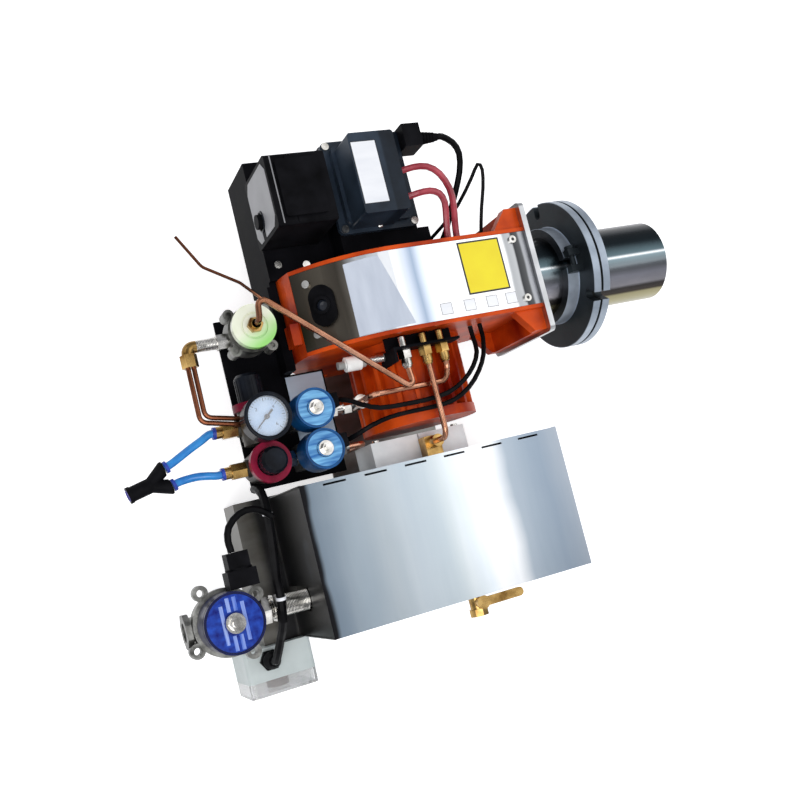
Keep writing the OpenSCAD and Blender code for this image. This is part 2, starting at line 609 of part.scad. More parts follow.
module ribbed_relief(len, d0, d1) union() {
  cylinder(h = len, d1 = d0, d2 = d1);
  for (i = [0:4]) translate([0, 0, 3 + i * (len - 6) / 5]) cylinder(h = 2.4, d = d0 + 1.5 - (d0 - d1) * i / 5);
}
module cable_glands() color("black") {
  union() {
    box([trafo_x + 72 + seat, 140, trafo_z + 28], [trafo_x + 92, 164, trafo_z + 56]);
    translate([trafo_x + 92, 152, 62]) rotate([0, 90, 0]) ribbed_relief(24, 12, 8);
  }
  translate([gland_x, gland_y, box_z + box_h]) union() {
    cylinder(h = 6, d = 22, $fn = 6);
    z_rod(0, 12, 18);
    translate([0, 0, 12]) cylinder(h = 8.2, d1 = 18, d2 = 12);
  }
  union() {
    box([oil_valve_x + 4, oil_valve_y + oil_coil_d / 2 + seat, -12], [oil_valve_x + 32, oil_valve_y + 46, 14]);
    translate([oil_valve_x + 18, 0, 1]) y_rod(oil_valve_y + 45, oil_valve_y + 48, 26);
    box([oil_valve_x + 7, oil_valve_y + 48, -9], [oil_valve_x + 28, oil_valve_y + 63, 12]);
  }
  for (y = [line_1_y, line_2_y]) box([valve_x + coil_d / 2 + seat, y - 2, coil_z + 4], [valve_x + coil_d / 2 + 8, y + 12, coil_z + 24]);
}

module hv_leads() color("brown") for (r = [hv_1_route, hv_2_route]) cord_tube(r, lead_d, 2, 8);
module cable_harness() color("black") {
  cord_tube(plug_cable_route, 7, 2, 8);
  cord_tube(sensor_cable_route, 4, 2, 8);
  cord_tube(valve_cable_1, 5, 2, 8);
  cord_tube(valve_cable_2, 5, 2, 8);
  cord_tube(oil_cable_route, 7, 2, 8);
  cord_tube(enclosure_cable_route, 9, 2, 8);
}

module brackets() color("dimgray") {
  difference() {
    union() {
      box([bracket_left, bracket_y, bracket_foot_z], [bracket_right, bracket_y + bracket_t, 58]);
      box([bracket_left, bracket_y, bracket_foot_z], [bracket_right, -half_w, bracket_foot_z + bracket_t]);
      box([bracket_left, bracket_y - 12, rod_z - 9], [bracket_left + bracket_t, bracket_y + bracket_t, 58]);
    }
    for (x = fitting_x) translate([x, 0, fitting_z]) y_rod(bracket_y - 1, bracket_y + bracket_t + 1, 8);
    translate([0, rod_y, rod_z]) x_rod(bracket_left - 1, bracket_left + 4, rod_d + 2 * fit);
  }
  union() {
    box([-402, -160, shelf_z], [valve_x + 40, -half_w - 6, shelf_z + steel_t]);
    box([-402, -half_w - 7, shelf_z], [air_box_x, 18, shelf_z + steel_t]);
    box([air_box_x - steel_t, -half_w - 6, shelf_z], [air_box_x, 40, -16]);
  }
}

module adjust_rod() color("white") union() {
  translate([0, rod_y, rod_z]) {
    x_rod(-306, -250, rod_d);
    x_rod(knob_rod_x - 8, knob_rod_x + 8, 15);
    x_rod(knob_rod_x + 8, knob_rod_x + 13, 11);
  }
}

module copper_tubes() color("sandybrown") {
  swept(bent([[fitting_x[0], bracket_y - 16.4, fitting_z], [fitting_x[0], bracket_y - 42, fitting_z + 5], curl_top,
    [valve_axis[0], valve_axis[1], 52], [valve_axis[0], valve_axis[1], cap_top + 9]], 5.5, 5), 6, 12);
  for (o = [0, 1]) swept(bent([[-446 + 5.6 * o, -32, 0], [-446 + 5.6 * o, -86 + 4 * o, 0],
    [-406.9, -95.6 + 5.8 * o, 0]], 8, 4), 5, 10);
  swept(bent([curl_top + [3, -4, 1], curl_top + [-14, 14, 1], [-424, 50, 57], [-442, 82, 57]], 12, 3), 3, 8);
  swept(bent([[tee_x, line_1_y, 2], [tee_x, line_1_y, 36], [fitting_x[2], line_1_y, 36], [fitting_x[2], -84, fitting_z],
    [fitting_x[2], bracket_y - 16, fitting_z]], 7, 4), 6, 10);
  pipe([[-300, line_2_y, line_z], [tee_x, line_2_y, line_z], [tee_x, line_2_y, -112], [tee_x, -half_w, -112]], 6, 9);
}
module oil_line() color("peru") pipe([[fitting_x[1], bracket_y - 16, fitting_z], [fitting_x[1], tank_rear + 14, fitting_z],
  [fitting_x[1], tank_rear + 14, 22]], 6, 10);

// A compression fitting along Y: hex body, nut and collar
module tube_nut(y0) union() {
  translate([0, y0, 0]) rotate([90, 0, 0]) cylinder(h = 9, d = 15, $fn = 6);
  y_rod(y0 - 16, y0 - 9, 11);
  y_rod(y0, y0 + 16 - bracket_t, 7.8);
}
module hex_x_nut(x, y, z, w, d) translate([x, y, z]) rotate([0, 90, 0]) cylinder(h = w, d = d, $fn = 6);
module brass_fittings() color("goldenrod") {
  for (i = [1, 2]) translate([fitting_x[i], 0, fitting_z]) tube_nut(bracket_y);
  for (y = [line_1_y, line_2_y]) {
    hex_x_nut(hex_x - 15, y, line_z, 15 - seat, 17);
    translate([0, y, line_z]) x_rod(hex_x - 22, hex_x - 14, 12);
  }
  union() {
    pipe([[-434, -12, 0], [-443.3, -12, 0], [-443.3, -21, 0]], 12, 6.4);
    translate([-443.3, -19, 0]) rotate([90, 0, 0]) cylinder(h = 13, d = 17, $fn = 6);
  }
  translate([valve_axis[0], valve_axis[1], cap_top]) union() {
    cylinder(h = 5, d = 16, $fn = 6);
    z_rod(4, 9, 9);
  }
  translate([fitting_x[1], tank_rear + 14, 0]) union() {
    z_rod(8, 22, 13);
    box([-9, -14, -8], [9, 7, 8]);
  }
}
module nickel_fittings() color("silver") {
  translate([fitting_x[0], 0, fitting_z]) tube_nut(bracket_y);
  translate([0, -12, 0]) union() {
    x_rod(-434, -400, 12);
    hex_x_nut(-413.5, 0, 0, 10, 17);
    x_rod(-400, valve_axis[0] - 19, 12);
  }
  for (y = [line_1_y, line_2_y]) union() {
    translate([0, y, line_z]) x_rod(regulator_x + regulator_d / 2 + 2, valve_x - 15, 12);
    hex_x_nut(regulator_x + regulator_d / 2 + 6, y, line_z, 9, 18);
  }
  union() {
    translate([0, line_1_y, line_z]) x_rod(valve_x + 15, -286, 12);
    hex_x_nut(-316, line_1_y, line_z, 12, 18);
    hex_x_nut(-296, line_1_y, line_z, 8, 17);
    translate([tee_x, line_1_y, 0]) z_rod(line_z - 9, 2, 15);
    translate([0, line_1_y, line_z]) x_rod(-288, tee_x, 13);
  }
  union() {
    translate([0, line_2_y, line_z]) x_rod(valve_x + 15, -300, 11);
    hex_x_nut(-316, line_2_y, line_z, 12, 18);
  }
  translate([0, oil_valve_y, oil_valve_z]) union() {
    x_rod(oil_valve_x + 33, in_left, 21);
    for (x = [36, 50]) translate([oil_valve_x + x, 0, 0]) rotate([0, 90, 0]) cylinder(h = 9, d = 30, $fn = 6);
  }
}

module oil_regulator() color("darkgray") translate([valve_axis[0], valve_axis[1], 0]) difference() {
  union() {
    z_rod(shelf_z + steel_t, -8, 30);
    z_rod(-12, 14, 46);
    for (a = [45, 135, 225, 315]) rotate([0, 0, a]) {
      translate([26, 0, 0]) z_rod(-6, 12, 11);
      box([16, -4.5, -6], [26, 4.5, 10]);
    }
    translate([0, -5, 0]) x_rod(-21, 0, 20);
    z_rod(14, 22, 40);
  }
  for (a = [45, 135, 225, 315]) rotate([0, 0, a]) translate([26, 0, 0]) z_rod(8, 13, 5.5);
  translate([0, -5, 0]) x_rod(-26, -18, 12.2);
}
module regulator_cap() color("honeydew") translate([valve_axis[0], valve_axis[1], 22]) difference() {
  z_rod(seat, cap_top - 22, cap_d);
  difference() {
    z_rod(cap_top - 24, cap_top - 21, 27);
    z_rod(cap_top - 25, cap_top - 20, 23);
  }
}

module air_regulators() color("silver") {
  translate([regulator_x, line_1_y, regulator_axis_z]) union() {
    y_rod(-20, 14, regulator_d);
    translate([0, 0, line_z - regulator_axis_z]) x_rod(-regulator_d / 2 - 2, regulator_d / 2 + 2, 18);
    box([-11, -12, shelf_z + steel_t - regulator_axis_z], [11, 9, -4]);
    z_rod(0, gauge_z - regulator_axis_z, 11);
  }
  translate([regulator_x, line_2_y, 0]) union() {
    z_rod(shelf_z + steel_t, knob_2_z - 9, regulator_d);
    translate([0, 0, line_z]) x_rod(-regulator_d / 2 - 2, regulator_d / 2 + 2, 18);
  }
}
module regulator_rings() color("crimson") {
  translate([regulator_x, line_1_y + 14, regulator_axis_z]) difference() {
    y_rod(0, 8 - seat, ring_d);
    y_rod(1, 9, knob_d + 1);
  }
  translate([regulator_x, line_2_y, knob_2_z - 9]) difference() {
    z_rod(0, 9 - seat, ring_d);
    z_rod(1, 10, knob_d + 1);
  }
}
module knob_body(h, d) union() {
  cylinder(h = h - 3, d = d);
  translate([0, 0, h - 3]) cylinder(h = 3, d1 = d, d2 = d - 5);
  for (i = [0:17]) rotate([0, 0, i * 20]) translate([d / 2 - 0.6, -0.8, 2]) cube([1.1, 1.6, h - 7]);
}
module knob_1() color("black") translate([regulator_x, line_1_y + 15 + seat, regulator_axis_z]) rotate([-90, 0, 0]) knob_body(35, knob_d - 1);
module knob_2() color("black") translate([regulator_x, line_2_y, knob_2_z - 8 + seat]) knob_body(24, knob_d - 1);

module gauge_case() color("black") translate([regulator_x, line_1_y, gauge_z]) difference() {
  union() {
    z_rod(0, gauge_t, gauge_d);
    z_rod(gauge_t - 4, gauge_t, gauge_d + 1.6);
  }
  z_rod(gauge_t - 8, gauge_t + 1, gauge_d - 6);
  z_rod(gauge_t - 12, gauge_t, 2.4);
}
module gauge_dial() color("white") translate([regulator_x, line_1_y, gauge_z + gauge_t - 8]) difference() {
  z_rod(0, 1, gauge_d - 6.4);
  z_rod(-1, 2, 2.4);
}
module gauge_needle() color("black") translate([regulator_x, line_1_y, gauge_z + gauge_t - 8]) rotate([0, 0, needle_rest]) union() {
  z_rod(-3, 2.6, 2.3);
  z_rod(1.4, 3, 5);
  translate([0, 0, 1.6]) linear_extrude(0.8) polygon([[-9, -1.1], [15, -0.3], [16, 0], [15, 0.3], [-9, 1.1]]);
}
module gauge_lens() color("aliceblue") translate([regulator_x, line_1_y, gauge_z + gauge_t - 3]) z_rod(0, 2, gauge_d - 6.4);

module air_valve_body(y) translate([valve_x, y, 0]) difference() {
  union() {
    box([-15, -13, shelf_z + steel_t], [15, 13, coil_z - 5]);
    z_rod(coil_z - 6, coil_z - seat, 26);
    z_rod(coil_z - 4, coil_top + 2, stem_d);
  }
  z_rod(coil_z - 2, coil_z - 2 + plunger_h + travel + 1, plunger_d + 2 * fit);
}
module valve_bodies() color("goldenrod") {
  air_valve_body(line_1_y);
  air_valve_body(line_2_y);
  translate([oil_valve_x, oil_valve_y, 0]) difference() {
    union() {
      translate([0, 0, oil_valve_z]) x_rod(-34, 33, 26);
      z_rod(oil_valve_z - 22, oil_coil_z - 6, 58);
      z_rod(oil_coil_z - 12, oil_coil_z - seat, 66);
      for (a = [30, 120, 210, 300]) rotate([0, 0, a]) {
        translate([38, 0, 0]) z_rod(oil_coil_z - 12, oil_coil_z - 2, 15);
        box([26, -6, oil_coil_z - 12], [38, 6, oil_coil_z - 3]);
      }
      z_rod(oil_coil_z - 4, oil_coil_z + oil_coil_h + 2, oil_stem_d);
      translate([0, 0, oil_valve_z]) rotate([22.5, 0, 0]) rotate([0, -90, 0]) translate([0, 0, 33.4]) cylinder(h = 5.6, d = 36, $fn = 8);
    }
    for (a = [30, 120, 210, 300]) rotate([0, 0, a]) translate([38, 0, 0]) z_rod(oil_coil_z - 14, oil_coil_z, 7);
    translate([0, 0, oil_valve_z]) x_rod(-40, -14, oil_port_d);
    z_rod(oil_coil_z - 3, oil_coil_z - 3 + plunger_h + travel + 4, oil_plunger_d + 2 * fit);
  }
}
module coil(d, h, bore) difference() {
  union() {
    z_rod(0, h, d);
    z_rod(2, h - 6, d + 0.4);
  }
  z_rod(-1, h + 1, bore);
  difference() {
    z_rod(h - 0.8, h + 1, d - 3);
    z_rod(h - 1, h + 2, bore + 4);
  }
}
module air_valve_coils() color("dodgerblue") for (y = [line_1_y, line_2_y]) translate([valve_x, y, coil_z]) coil(coil_d, coil_h, stem_d + 2 * fit);
module oil_valve_coil() color("royalblue") translate([oil_valve_x, oil_valve_y, oil_coil_z]) coil(oil_coil_d, oil_coil_h, oil_stem_d + 2 * fit);
module coil_nut(d) union() {
  cylinder(h = 1.4, d = d * 1.35);
  translate([0, 0, 1.4]) cylinder(h = 5, d = d, $fn = 6);
  z_rod(6, 9, d * 0.55);
}
module coil_nuts() color("silver") {
  for (y = [line_1_y, line_2_y]) translate([valve_x, y, coil_top + 2]) coil_nut(11);
  translate([oil_valve_x, oil_valve_y, oil_coil_z + oil_coil_h + 2]) coil_nut(14);
}
module plunger(x, y, z, d) color("silver") translate([x, y, z]) difference() {
  z_rod(0, plunger_h, d);
  z_rod(plunger_h - 5, plunger_h + 1, d / 2);
}
module plunger_1() plunger(valve_x, line_1_y, coil_z - 2 + 0.2, plunger_d);
module plunger_2() plunger(valve_x, line_2_y, coil_z - 2 + 0.2, plunger_d);
module oil_plunger() plunger(oil_valve_x, oil_valve_y, oil_coil_z - 3 + 0.2, oil_plunger_d);

module hose_1() color("dodgerblue") cord_tube(hose_1_route, hose_d, 3, 10);
module hose_2() color("dodgerblue") cord_tube(hose_2_route, hose_d, 3, 10);
y_mid = (y_in_1 + y_in_2) / 2;
y_dir = unit(y_tip - y_mid);
module y_connector() color("black") difference() {
  union() {
    for (p = [y_in_1, y_in_2]) hull() {
      translate(p + 1 * y_dir) multmatrix(frame_of([0, 0, 1], cross(y_dir, [0, 0, 1]), [0, 0, 0])) cylinder(h = 2, d = 15, $fn = 32);
      translate(y_mid + 20 * y_dir) multmatrix(frame_of([0, 0, 1], cross(y_dir, [0, 0, 1]), [0, 0, 0])) cylinder(h = 1, d = 13, $fn = 32);
    }
    translate(y_mid + 18 * y_dir) multmatrix(frame_of([0, 0, 1], cross(y_dir, [0, 0, 1]), [0, 0, 0])) z_rod(0, 20, 15);
    translate(y_mid + 38 * y_dir) multmatrix(frame_of([0, 0, 1], cross(y_dir, [0, 0, 1]), [0, 0, 0])) z_rod(0, 3.4, 16.5);
  }
  translate(y_mid + 16 * y_dir) multmatrix(frame_of([0, 0, 1], cross(y_dir, [0, 0, 1]), [0, 0, 0])) z_rod(0, 40, 10);
}

module base_tray() color("gray") difference() {
  union() {
    box([tank_left - tray_left, tank_front, floor_z], [tank_right, tank_rear + 2, floor_z + tray_h]);
    box([fan_x - 70, tank_rear, floor_z], [fan_x + 70, half_w + 20, floor_z + steel_t]);
  }
  box([tank_left - tray_left + steel_t, tank_front + steel_t, floor_z + steel_t],
    [tank_right - steel_t, tank_rear + 2 - steel_t, floor_z + tray_h - steel_t]);
}

module tank_jacket() color("lightsteelblue") difference() {
  box([tank_left, tank_front, jacket_bottom], [tank_right, tank_rear, tank_top]);
  box([tank_left + sheet_t, tank_front + sheet_t, jacket_bottom - 1], [tank_right - sheet_t, tank_rear - sheet_t, tank_top - sheet_t]);
  translate([0, oil_valve_y, oil_valve_z]) x_rod(tank_left - 1, tank_left + 4, 26);
  box([tank_left - 1, oil_valve_y - 13, jacket_bottom - 1], [tank_left + 4, oil_valve_y + 13, oil_valve_z]);
  translate([drain_x, 0, drain_z]) y_rod(tank_front - 1, tank_front + 4, 24);
  translate([fitting_x[1], 0, 0]) y_rod(tank_rear - 4, tank_rear + 1, 16);
  box([drain_x - 12, tank_front - 1, jacket_bottom - 1], [drain_x + 12, tank_front + 4, drain_z]);
  for (i = [0:5]) box([tank_left + 24 + i * 44, tank_rear - 5, tank_top - 3], [tank_left + 48 + i * 44, tank_rear - 3, tank_top + 1]);
}

module oil_tank() color("silver") difference() {
  union() {
    difference() {
      box([in_left, in_front, in_bottom], [in_right, in_rear, in_top]);
      box([in_left + tank_wall, in_front + tank_wall, in_bottom + tank_wall], [in_right - tank_wall, in_rear - tank_wall, in_top - tank_wall]);
    }
    translate([float_x, float_y, 0]) z_rod(in_bottom + 1, in_top - 1, float_stem_d);
    translate([float_x, float_y, 0]) z_rod(in_bottom + 1, float_z - 0.2, 14);
    translate([drain_x, 0, drain_z]) y_rod(tank_front - 2, in_front + 3, 20);
    translate([fitting_x[1], 0, 0]) y_rod(in_rear - 3, tank_rear - seat, 14);
  }
  translate([0, oil_valve_y, oil_valve_z]) x_rod(in_left - 1, in_left + tank_wall + 1, 17);
}
module heater() color("dimgray") union() {
  pipe([[in_left + tank_wall + 8, -262, -72], [in_right - 100, -262, -72], [in_right - 100, -222, -72],
    [in_left + tank_wall + 8, -222, -72]], 11, 19);
  box([in_left + tank_wall + seat, -274, -84], [in_left + tank_wall + 10, -210, -60]);
}
module tank_float() color("orange") translate([float_x, float_y, float_z]) difference() {
  union() {
    z_rod(0, float_h, float_d);
    z_rod(2, float_h - 2, float_d + 1);
  }
  z_rod(-1, float_h + 1, float_stem_d + 2 * fit);
}

module drain_valve() color("goldenrod") translate([drain_x, tank_front, drain_z]) difference() {
  union() {
    translate([0, 0, 0]) y_rod(-24, -2 - seat, 17);
    translate([0, -2 - seat, 0]) rotate([90, 0, 0]) cylinder(h = 8, d = 24, $fn = 6);
    translate([0, -24, 0]) rotate([90, 0, 0]) cylinder(h = 8, d = 22, $fn = 8);
    translate([0, -17, 0]) z_rod(0, 15, 11);
  }
  y_rod(-34, -24, 9);
}
module drain_lever() color("goldenrod") translate([drain_x, tank_front - 17, drain_z + 15 + seat]) union() {
  z_rod(0, 4, 15);
  box([-4, -5, 0], [46, 5, 3]);
  translate([46, 0, 0]) z_rod(0, 3, 10);
}

module enclosure() color("lightgray") union() {
  enclosure_shell();
  translate([box_x + box_w / 2, box_y, box_z + box_h / 2]) difference() {
    y_rod(6, box_depth - 2, 34);
    y_rod(5, box_depth - 8, 6 + 2 * fit);
  }
}
module enclosure_shell() difference() {
  translate([box_x + box_w / 2, 0, box_z + box_h / 2]) along_y(box_y, box_y + box_depth) rounded(box_w, box_h, 4);
  translate([box_x + box_w / 2, 0, box_z + box_h / 2]) along_y(box_y - 1, box_y + box_depth - 3) rounded(box_w - 7, box_h - 7, 3);
  translate([gland_x, gland_y, box_z + box_h - 5]) cylinder(h = 4, d = 12);
}
module clear_lid() color("aliceblue") difference() {
  translate([box_x + box_w / 2, 0, box_z + box_h / 2]) along_y(box_y - lid_t, box_y) rounded(box_w, box_h, 5);
  translate([box_x + box_w / 2, 0, box_z + box_h / 2]) along_y(box_y - lid_t + 2.5, box_y + 1) rounded(box_w - 6, box_h - 6, 4);
}
module thermostat_knob() color("saddlebrown") translate([box_x + box_w / 2, box_y, box_z + box_h / 2]) union() {
  y_rod(-11, 3, 24);
  y_rod(3, box_depth - 10, 6);
}

burner_housing();
end_plate();
top_cover();
sight_bezel();
fan_wheel();
motor_shaft();
motor_body();
junction_box();
blast_tube();
diffuser_disc();
nozzle_lance();
electrodes();
sliding_flange();
flange_gasket();
counter_flange();
screws();
air_box();
air_damper();
control_box();
reset_button();
transformer();
cable_glands();
hv_leads();
cable_harness();
brackets();
adjust_rod();
copper_tubes();
oil_line();
brass_fittings();
nickel_fittings();
oil_regulator();
regulator_cap();
air_regulators();
regulator_rings();
knob_1();
knob_2();
gauge_case();
gauge_dial();
gauge_needle();
gauge_lens();
valve_bodies();
air_valve_coils();
coil_nuts();
plunger_1();
plunger_2();
oil_plunger();
hose_1();
hose_2();
y_connector();
base_tray();
tank_jacket();
oil_tank();
heater();
tank_float();
oil_valve_coil();
drain_valve();
drain_lever();
enclosure();
clear_lid();
thermostat_knob();
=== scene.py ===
import bpy
import bmesh
import numpy as np
from mathutils import Matrix


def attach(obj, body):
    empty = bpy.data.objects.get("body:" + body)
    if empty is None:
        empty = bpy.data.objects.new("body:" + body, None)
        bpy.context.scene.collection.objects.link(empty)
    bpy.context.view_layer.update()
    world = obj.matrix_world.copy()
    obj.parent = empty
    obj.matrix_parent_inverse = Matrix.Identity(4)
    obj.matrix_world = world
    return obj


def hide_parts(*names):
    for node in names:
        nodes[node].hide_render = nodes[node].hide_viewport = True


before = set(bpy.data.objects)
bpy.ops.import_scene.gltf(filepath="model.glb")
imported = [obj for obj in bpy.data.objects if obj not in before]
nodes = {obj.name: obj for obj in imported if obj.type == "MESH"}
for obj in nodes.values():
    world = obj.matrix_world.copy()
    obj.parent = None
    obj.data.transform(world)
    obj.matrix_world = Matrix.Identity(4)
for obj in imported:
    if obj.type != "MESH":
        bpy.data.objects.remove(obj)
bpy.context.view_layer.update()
scene = bpy.context.scene
scene.view_settings.view_transform = "Standard"
print("stage: frame loaded")

# Camera at the photograph's viewing angle: in metres, its lens and sensor in millimetres
cameraPlace = {
    "centre": (-0.640, -0.207, 0.954),
    "right": (0.903, -0.242, 0.354),
    "up": (0.186, 0.965, 0.183),
    "back": (-0.386, -0.100, 0.917),
    "lens": 45.0,
    "sensor": 36.0,
    "nearest": 0.02,
}
cameraData = bpy.data.cameras.new("photoCamera")
cameraData.lens = cameraPlace["lens"]
cameraData.sensor_width = cameraPlace["sensor"]
cameraData.clip_start = cameraPlace["nearest"]
photoCamera = bpy.data.objects.new("photoCamera", cameraData)
scene.collection.objects.link(photoCamera)
wanted = np.array([cameraPlace[way] for way in ("right", "up", "back")]).T
turn, _ = np.linalg.qr(wanted)
turn = turn * np.sign((turn * wanted).sum(0))
photoCamera.matrix_world = Matrix.Translation(cameraPlace["centre"]) @ Matrix(turn.tolist()).to_4x4()
scene.camera = photoCamera

# Mesh settings: points closer than weld metres are joined, edges sharper than sharpAngle radians stay sharp
meshValues = {"perMetre": 1000.0, "weld": 1e-6, "sharpAngle": 0.6, "bandSides": 10}
fullTurn = 2 * np.pi
up = (0, 0, 1)


# Mesh helpers: everything is worked out as whole arrays, in millimetres
def unit(v):
    # Each vector divided by its own length
    v = np.asarray(v, float)
    return v / np.linalg.norm(v, axis=-1, keepdims=True)


def crossAxes(axis):
    # Unit vector along the axis and two more square to it
    axis = unit(axis)
    helper = [0.31, 0.17, 0.94] if abs(axis[2]) < 0.9 else [0.0, 1.0, 0.0]
    side = unit(np.cross(axis, helper))
    return axis, side, np.cross(axis, side)


def gridFaces(rows, cols, wrap=False, first=0):
    # Four-cornered faces between neighbouring points of a grid, with wrap also from the last column to the first
    i = np.arange(rows - 1)[:, None]
    j = np.arange(cols if wrap else cols - 1)[None, :]
    k = (j + 1) % cols
    corners = [i * cols + j, i * cols + k, (i + 1) * cols + k, (i + 1) * cols + j]
    return (np.stack(corners, -1) + first).reshape(-1, 4)


def makePiece(name, points, faces, finish, body="burner", smooth=True):
    # Points in millimetres become a mesh piece with its finish, on its body
    mesh = bpy.data.meshes.new(name)
    places = np.asarray(points, float).reshape(-1, 3) / meshValues["perMetre"]
    mesh.from_pydata(places.tolist(), [], faces)
    work = bmesh.new()
    work.from_mesh(mesh)
    bmesh.ops.remove_doubles(work, verts=work.verts, dist=meshValues["weld"])
    bmesh.ops.recalc_face_normals(work, faces=work.faces)
    work.to_mesh(mesh)
    work.free()
    if smooth:
        mesh.shade_smooth()
        mesh.set_sharp_from_angle(angle=meshValues["sharpAngle"])
    piece = bpy.data.objects.new(name, mesh)
    scene.collection.objects.link(piece)
    mesh.materials.append(finishes[finish])
    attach(piece, body)
    return piece


def ringShell(name, rings, finish, body="burner"):
    # Closed shell: rows of points round a path, each row joined to the next, flat at both ends
    rows, cols = rings.shape[:2]
    faces = gridFaces(rows, cols, True).tolist()
    faces.append(list(range(cols))[::-1])
    faces.append(list(range((rows - 1) * cols, rows * cols)))
    return makePiece(name, rings, faces, finish, body)


def hoop(name, rings, finish, body="burner"):
    # Rows of points round a path, the last row joined to the first
    rings = np.concatenate([rings, rings[:1]])
    return makePiece(name, rings, gridFaces(*rings.shape[:2], True).tolist(), finish, body)


def turned(name, centre, axis, profile, finish, body="burner", sides=48, hollow=False):
    # Turned piece: each row of the profile, a height along the axis and a radius, carried once round the axis
    axis, side, top = crossAxes(axis)
    t = np.linspace(0, fullTurn, sides, endpoint=False)[:, None]
    circle = np.cos(t) * side + np.sin(t) * top
    height, radius = np.asarray(profile, float).T[:, :, None, None]
    rings = np.asarray(centre, float) + height * axis + radius * circle
    return (hoop if hollow else ringShell)(name, rings, finish, body)


def ringBand(name, centre, axis, radius, thick, finish, sides=48, flat=1.0):
    # Closed ring: a small circle of radius thick, flat times as high, carried round a circle about the axis
    axis, side, top = crossAxes(axis)
    t = np.linspace(0, fullTurn, sides, endpoint=False)[:, None, None]
    s = np.linspace(0, fullTurn, meshValues["bandSides"], endpoint=False)[None, :, None]
    out = np.cos(t) * side + np.sin(t) * top
    rings = np.asarray(centre, float) + out * (radius + thick * np.cos(s)) + axis * (thick * flat * np.sin(s))
    return hoop(name, rings, finish)


def slab(name, surface, size, thick, finish):
    # Thin plate: its underside is surface(u, v), its top the same surface raised by thick along the normal
    u, v = np.meshgrid(np.linspace(0, 1, size[0]), np.linspace(0, 1, size[1]), indexing="ij")
    low = surface(u, v)
    high = low + unit(np.cross(np.gradient(low, axis=0), np.gradient(low, axis=1))) * thick
    rows, cols = size
    count = rows * cols
    index = np.arange(count).reshape(rows, cols)
    loop = np.concatenate([index[:-1, 0], index[-1, :-1], index[:0:-1, -1], index[0, :0:-1]])
    following = np.roll(loop, -1)
    under = gridFaces(rows, cols)
    over = gridFaces(rows, cols, first=count)[:, ::-1]
    edge = np.stack([loop, following, following + count, loop + count], -1)
    points = np.concatenate([low.reshape(-1, 3), high.reshape(-1, 3)])
    return makePiece(name, points, np.concatenate([under, over, edge]).tolist(), finish, smooth=False)


def smoothPath(points, steps):
    # One smooth curve through all the points, each stretch a cubic set by its four nearest points
    p = np.asarray(points, float)
    q = np.concatenate([p[:1], p, p[-1:]])
    a, b, c, d = (w[:, None, :] for w in (q[:-3], q[1:-2], q[2:-1], q[3:]))
    t = (np.arange(steps) / steps)[None, :, None]
    bend = (2 * a - 5 * b + 4 * c - d) * t ** 2 + (3 * b - a - 3 * c + d) * t ** 3
    run = 0.5 * (2 * b + (c - a) * t + bend)
    return np.concatenate([run.reshape(-1, 3), p[-1:]])


def carried(name, path, radius, finish, body="burner", sides=16, upward=up, ripple=0.0, pitch=3.0):
    # Round section carried along a path: the radius swells by ripple * cos(2 pi * distance / pitch)
    path = np.asarray(path, float)
    tangent = unit(np.gradient(path, axis=0))
    side = unit(np.cross(tangent, np.asarray(upward, float)))[:, None, :]
    top = np.cross(side, tangent[:, None, :])
    t = np.linspace(0, fullTurn, sides, endpoint=False)[None, :, None]
    far = np.concatenate([[0], np.cumsum(np.linalg.norm(np.diff(path, axis=0), axis=1))])
    r = radius * (1 + ripple * np.cos(fullTurn * far / pitch))
    rings = path[:, None, :] + r[:, None, None] * (np.cos(t) * side + np.sin(t) * top)
    return ringShell(name, rings, finish, body)


# Node helpers
def newGroup(name, inputs, outputs):
    group = bpy.data.node_groups.new(name, "ShaderNodeTree")
    for label, kind, value in inputs:
        socket = group.interface.new_socket(name=label, in_out="INPUT", socket_type="NodeSocket" + kind)
        socket.default_value = value
    for label in outputs:
        kind = "NodeSocketColor" if label == "Color" else "NodeSocketFloat"
        group.interface.new_socket(name=label, in_out="OUTPUT", socket_type=kind)
    return group, group.nodes.new("NodeGroupInput"), group.nodes.new("NodeGroupOutput")


def link(tree, source, target):
    tree.links.new(source, target)


def feed(tree, socket, value):
    # A number or colour is typed into the socket, another socket is joined to it
    if isinstance(value, (int, float, tuple)):
        socket.default_value = value
    elif value is not None:
        link(tree, value, socket)


def mathNode(tree, operation, *values, clamp=False):
    node = tree.nodes.new("ShaderNodeMath")
    node.operation = operation
    node.use_clamp = clamp
    for socket, value in zip(node.inputs, values):
        feed(tree, socket, value)
    return node.outputs[0]


def vectorNode(tree, operation, *values, output="Vector"):
    node = tree.nodes.new("ShaderNodeVectorMath")
    node.operation = operation
    for socket, value in zip(node.inputs, values):
        feed(tree, socket, value)
    return node.outputs[output]


def mixColour(tree, factor, first, second, blend="MIX"):
    node = tree.nodes.new("ShaderNodeMix")
    node.data_type = "RGBA"
    node.blend_type = blend
    for number, value in ((0, factor), (6, first), (7, second)):
        feed(tree, node.inputs[number], value)
    return node.outputs[2]


def groupNode(tree, group, values):
    node = tree.nodes.new("ShaderNodeGroup")
    node.node_tree = group
    for label, value in values.items():
        node.inputs[label].default_value = value
    return node


def objectPlace(tree):
    return tree.nodes.new("ShaderNodeTexCoord").outputs["Object"]


def split(tree, source):
    node = tree.nodes.new("ShaderNodeSeparateXYZ")
    link(tree, source, node.inputs[0])
    return node.outputs


# Shared effects as node groups
groupValues = {"toneDetail": 4.0, "grainDetail": 2.0, "contrast": 2.6, "offset": -0.8, "waverScale": 14.0}


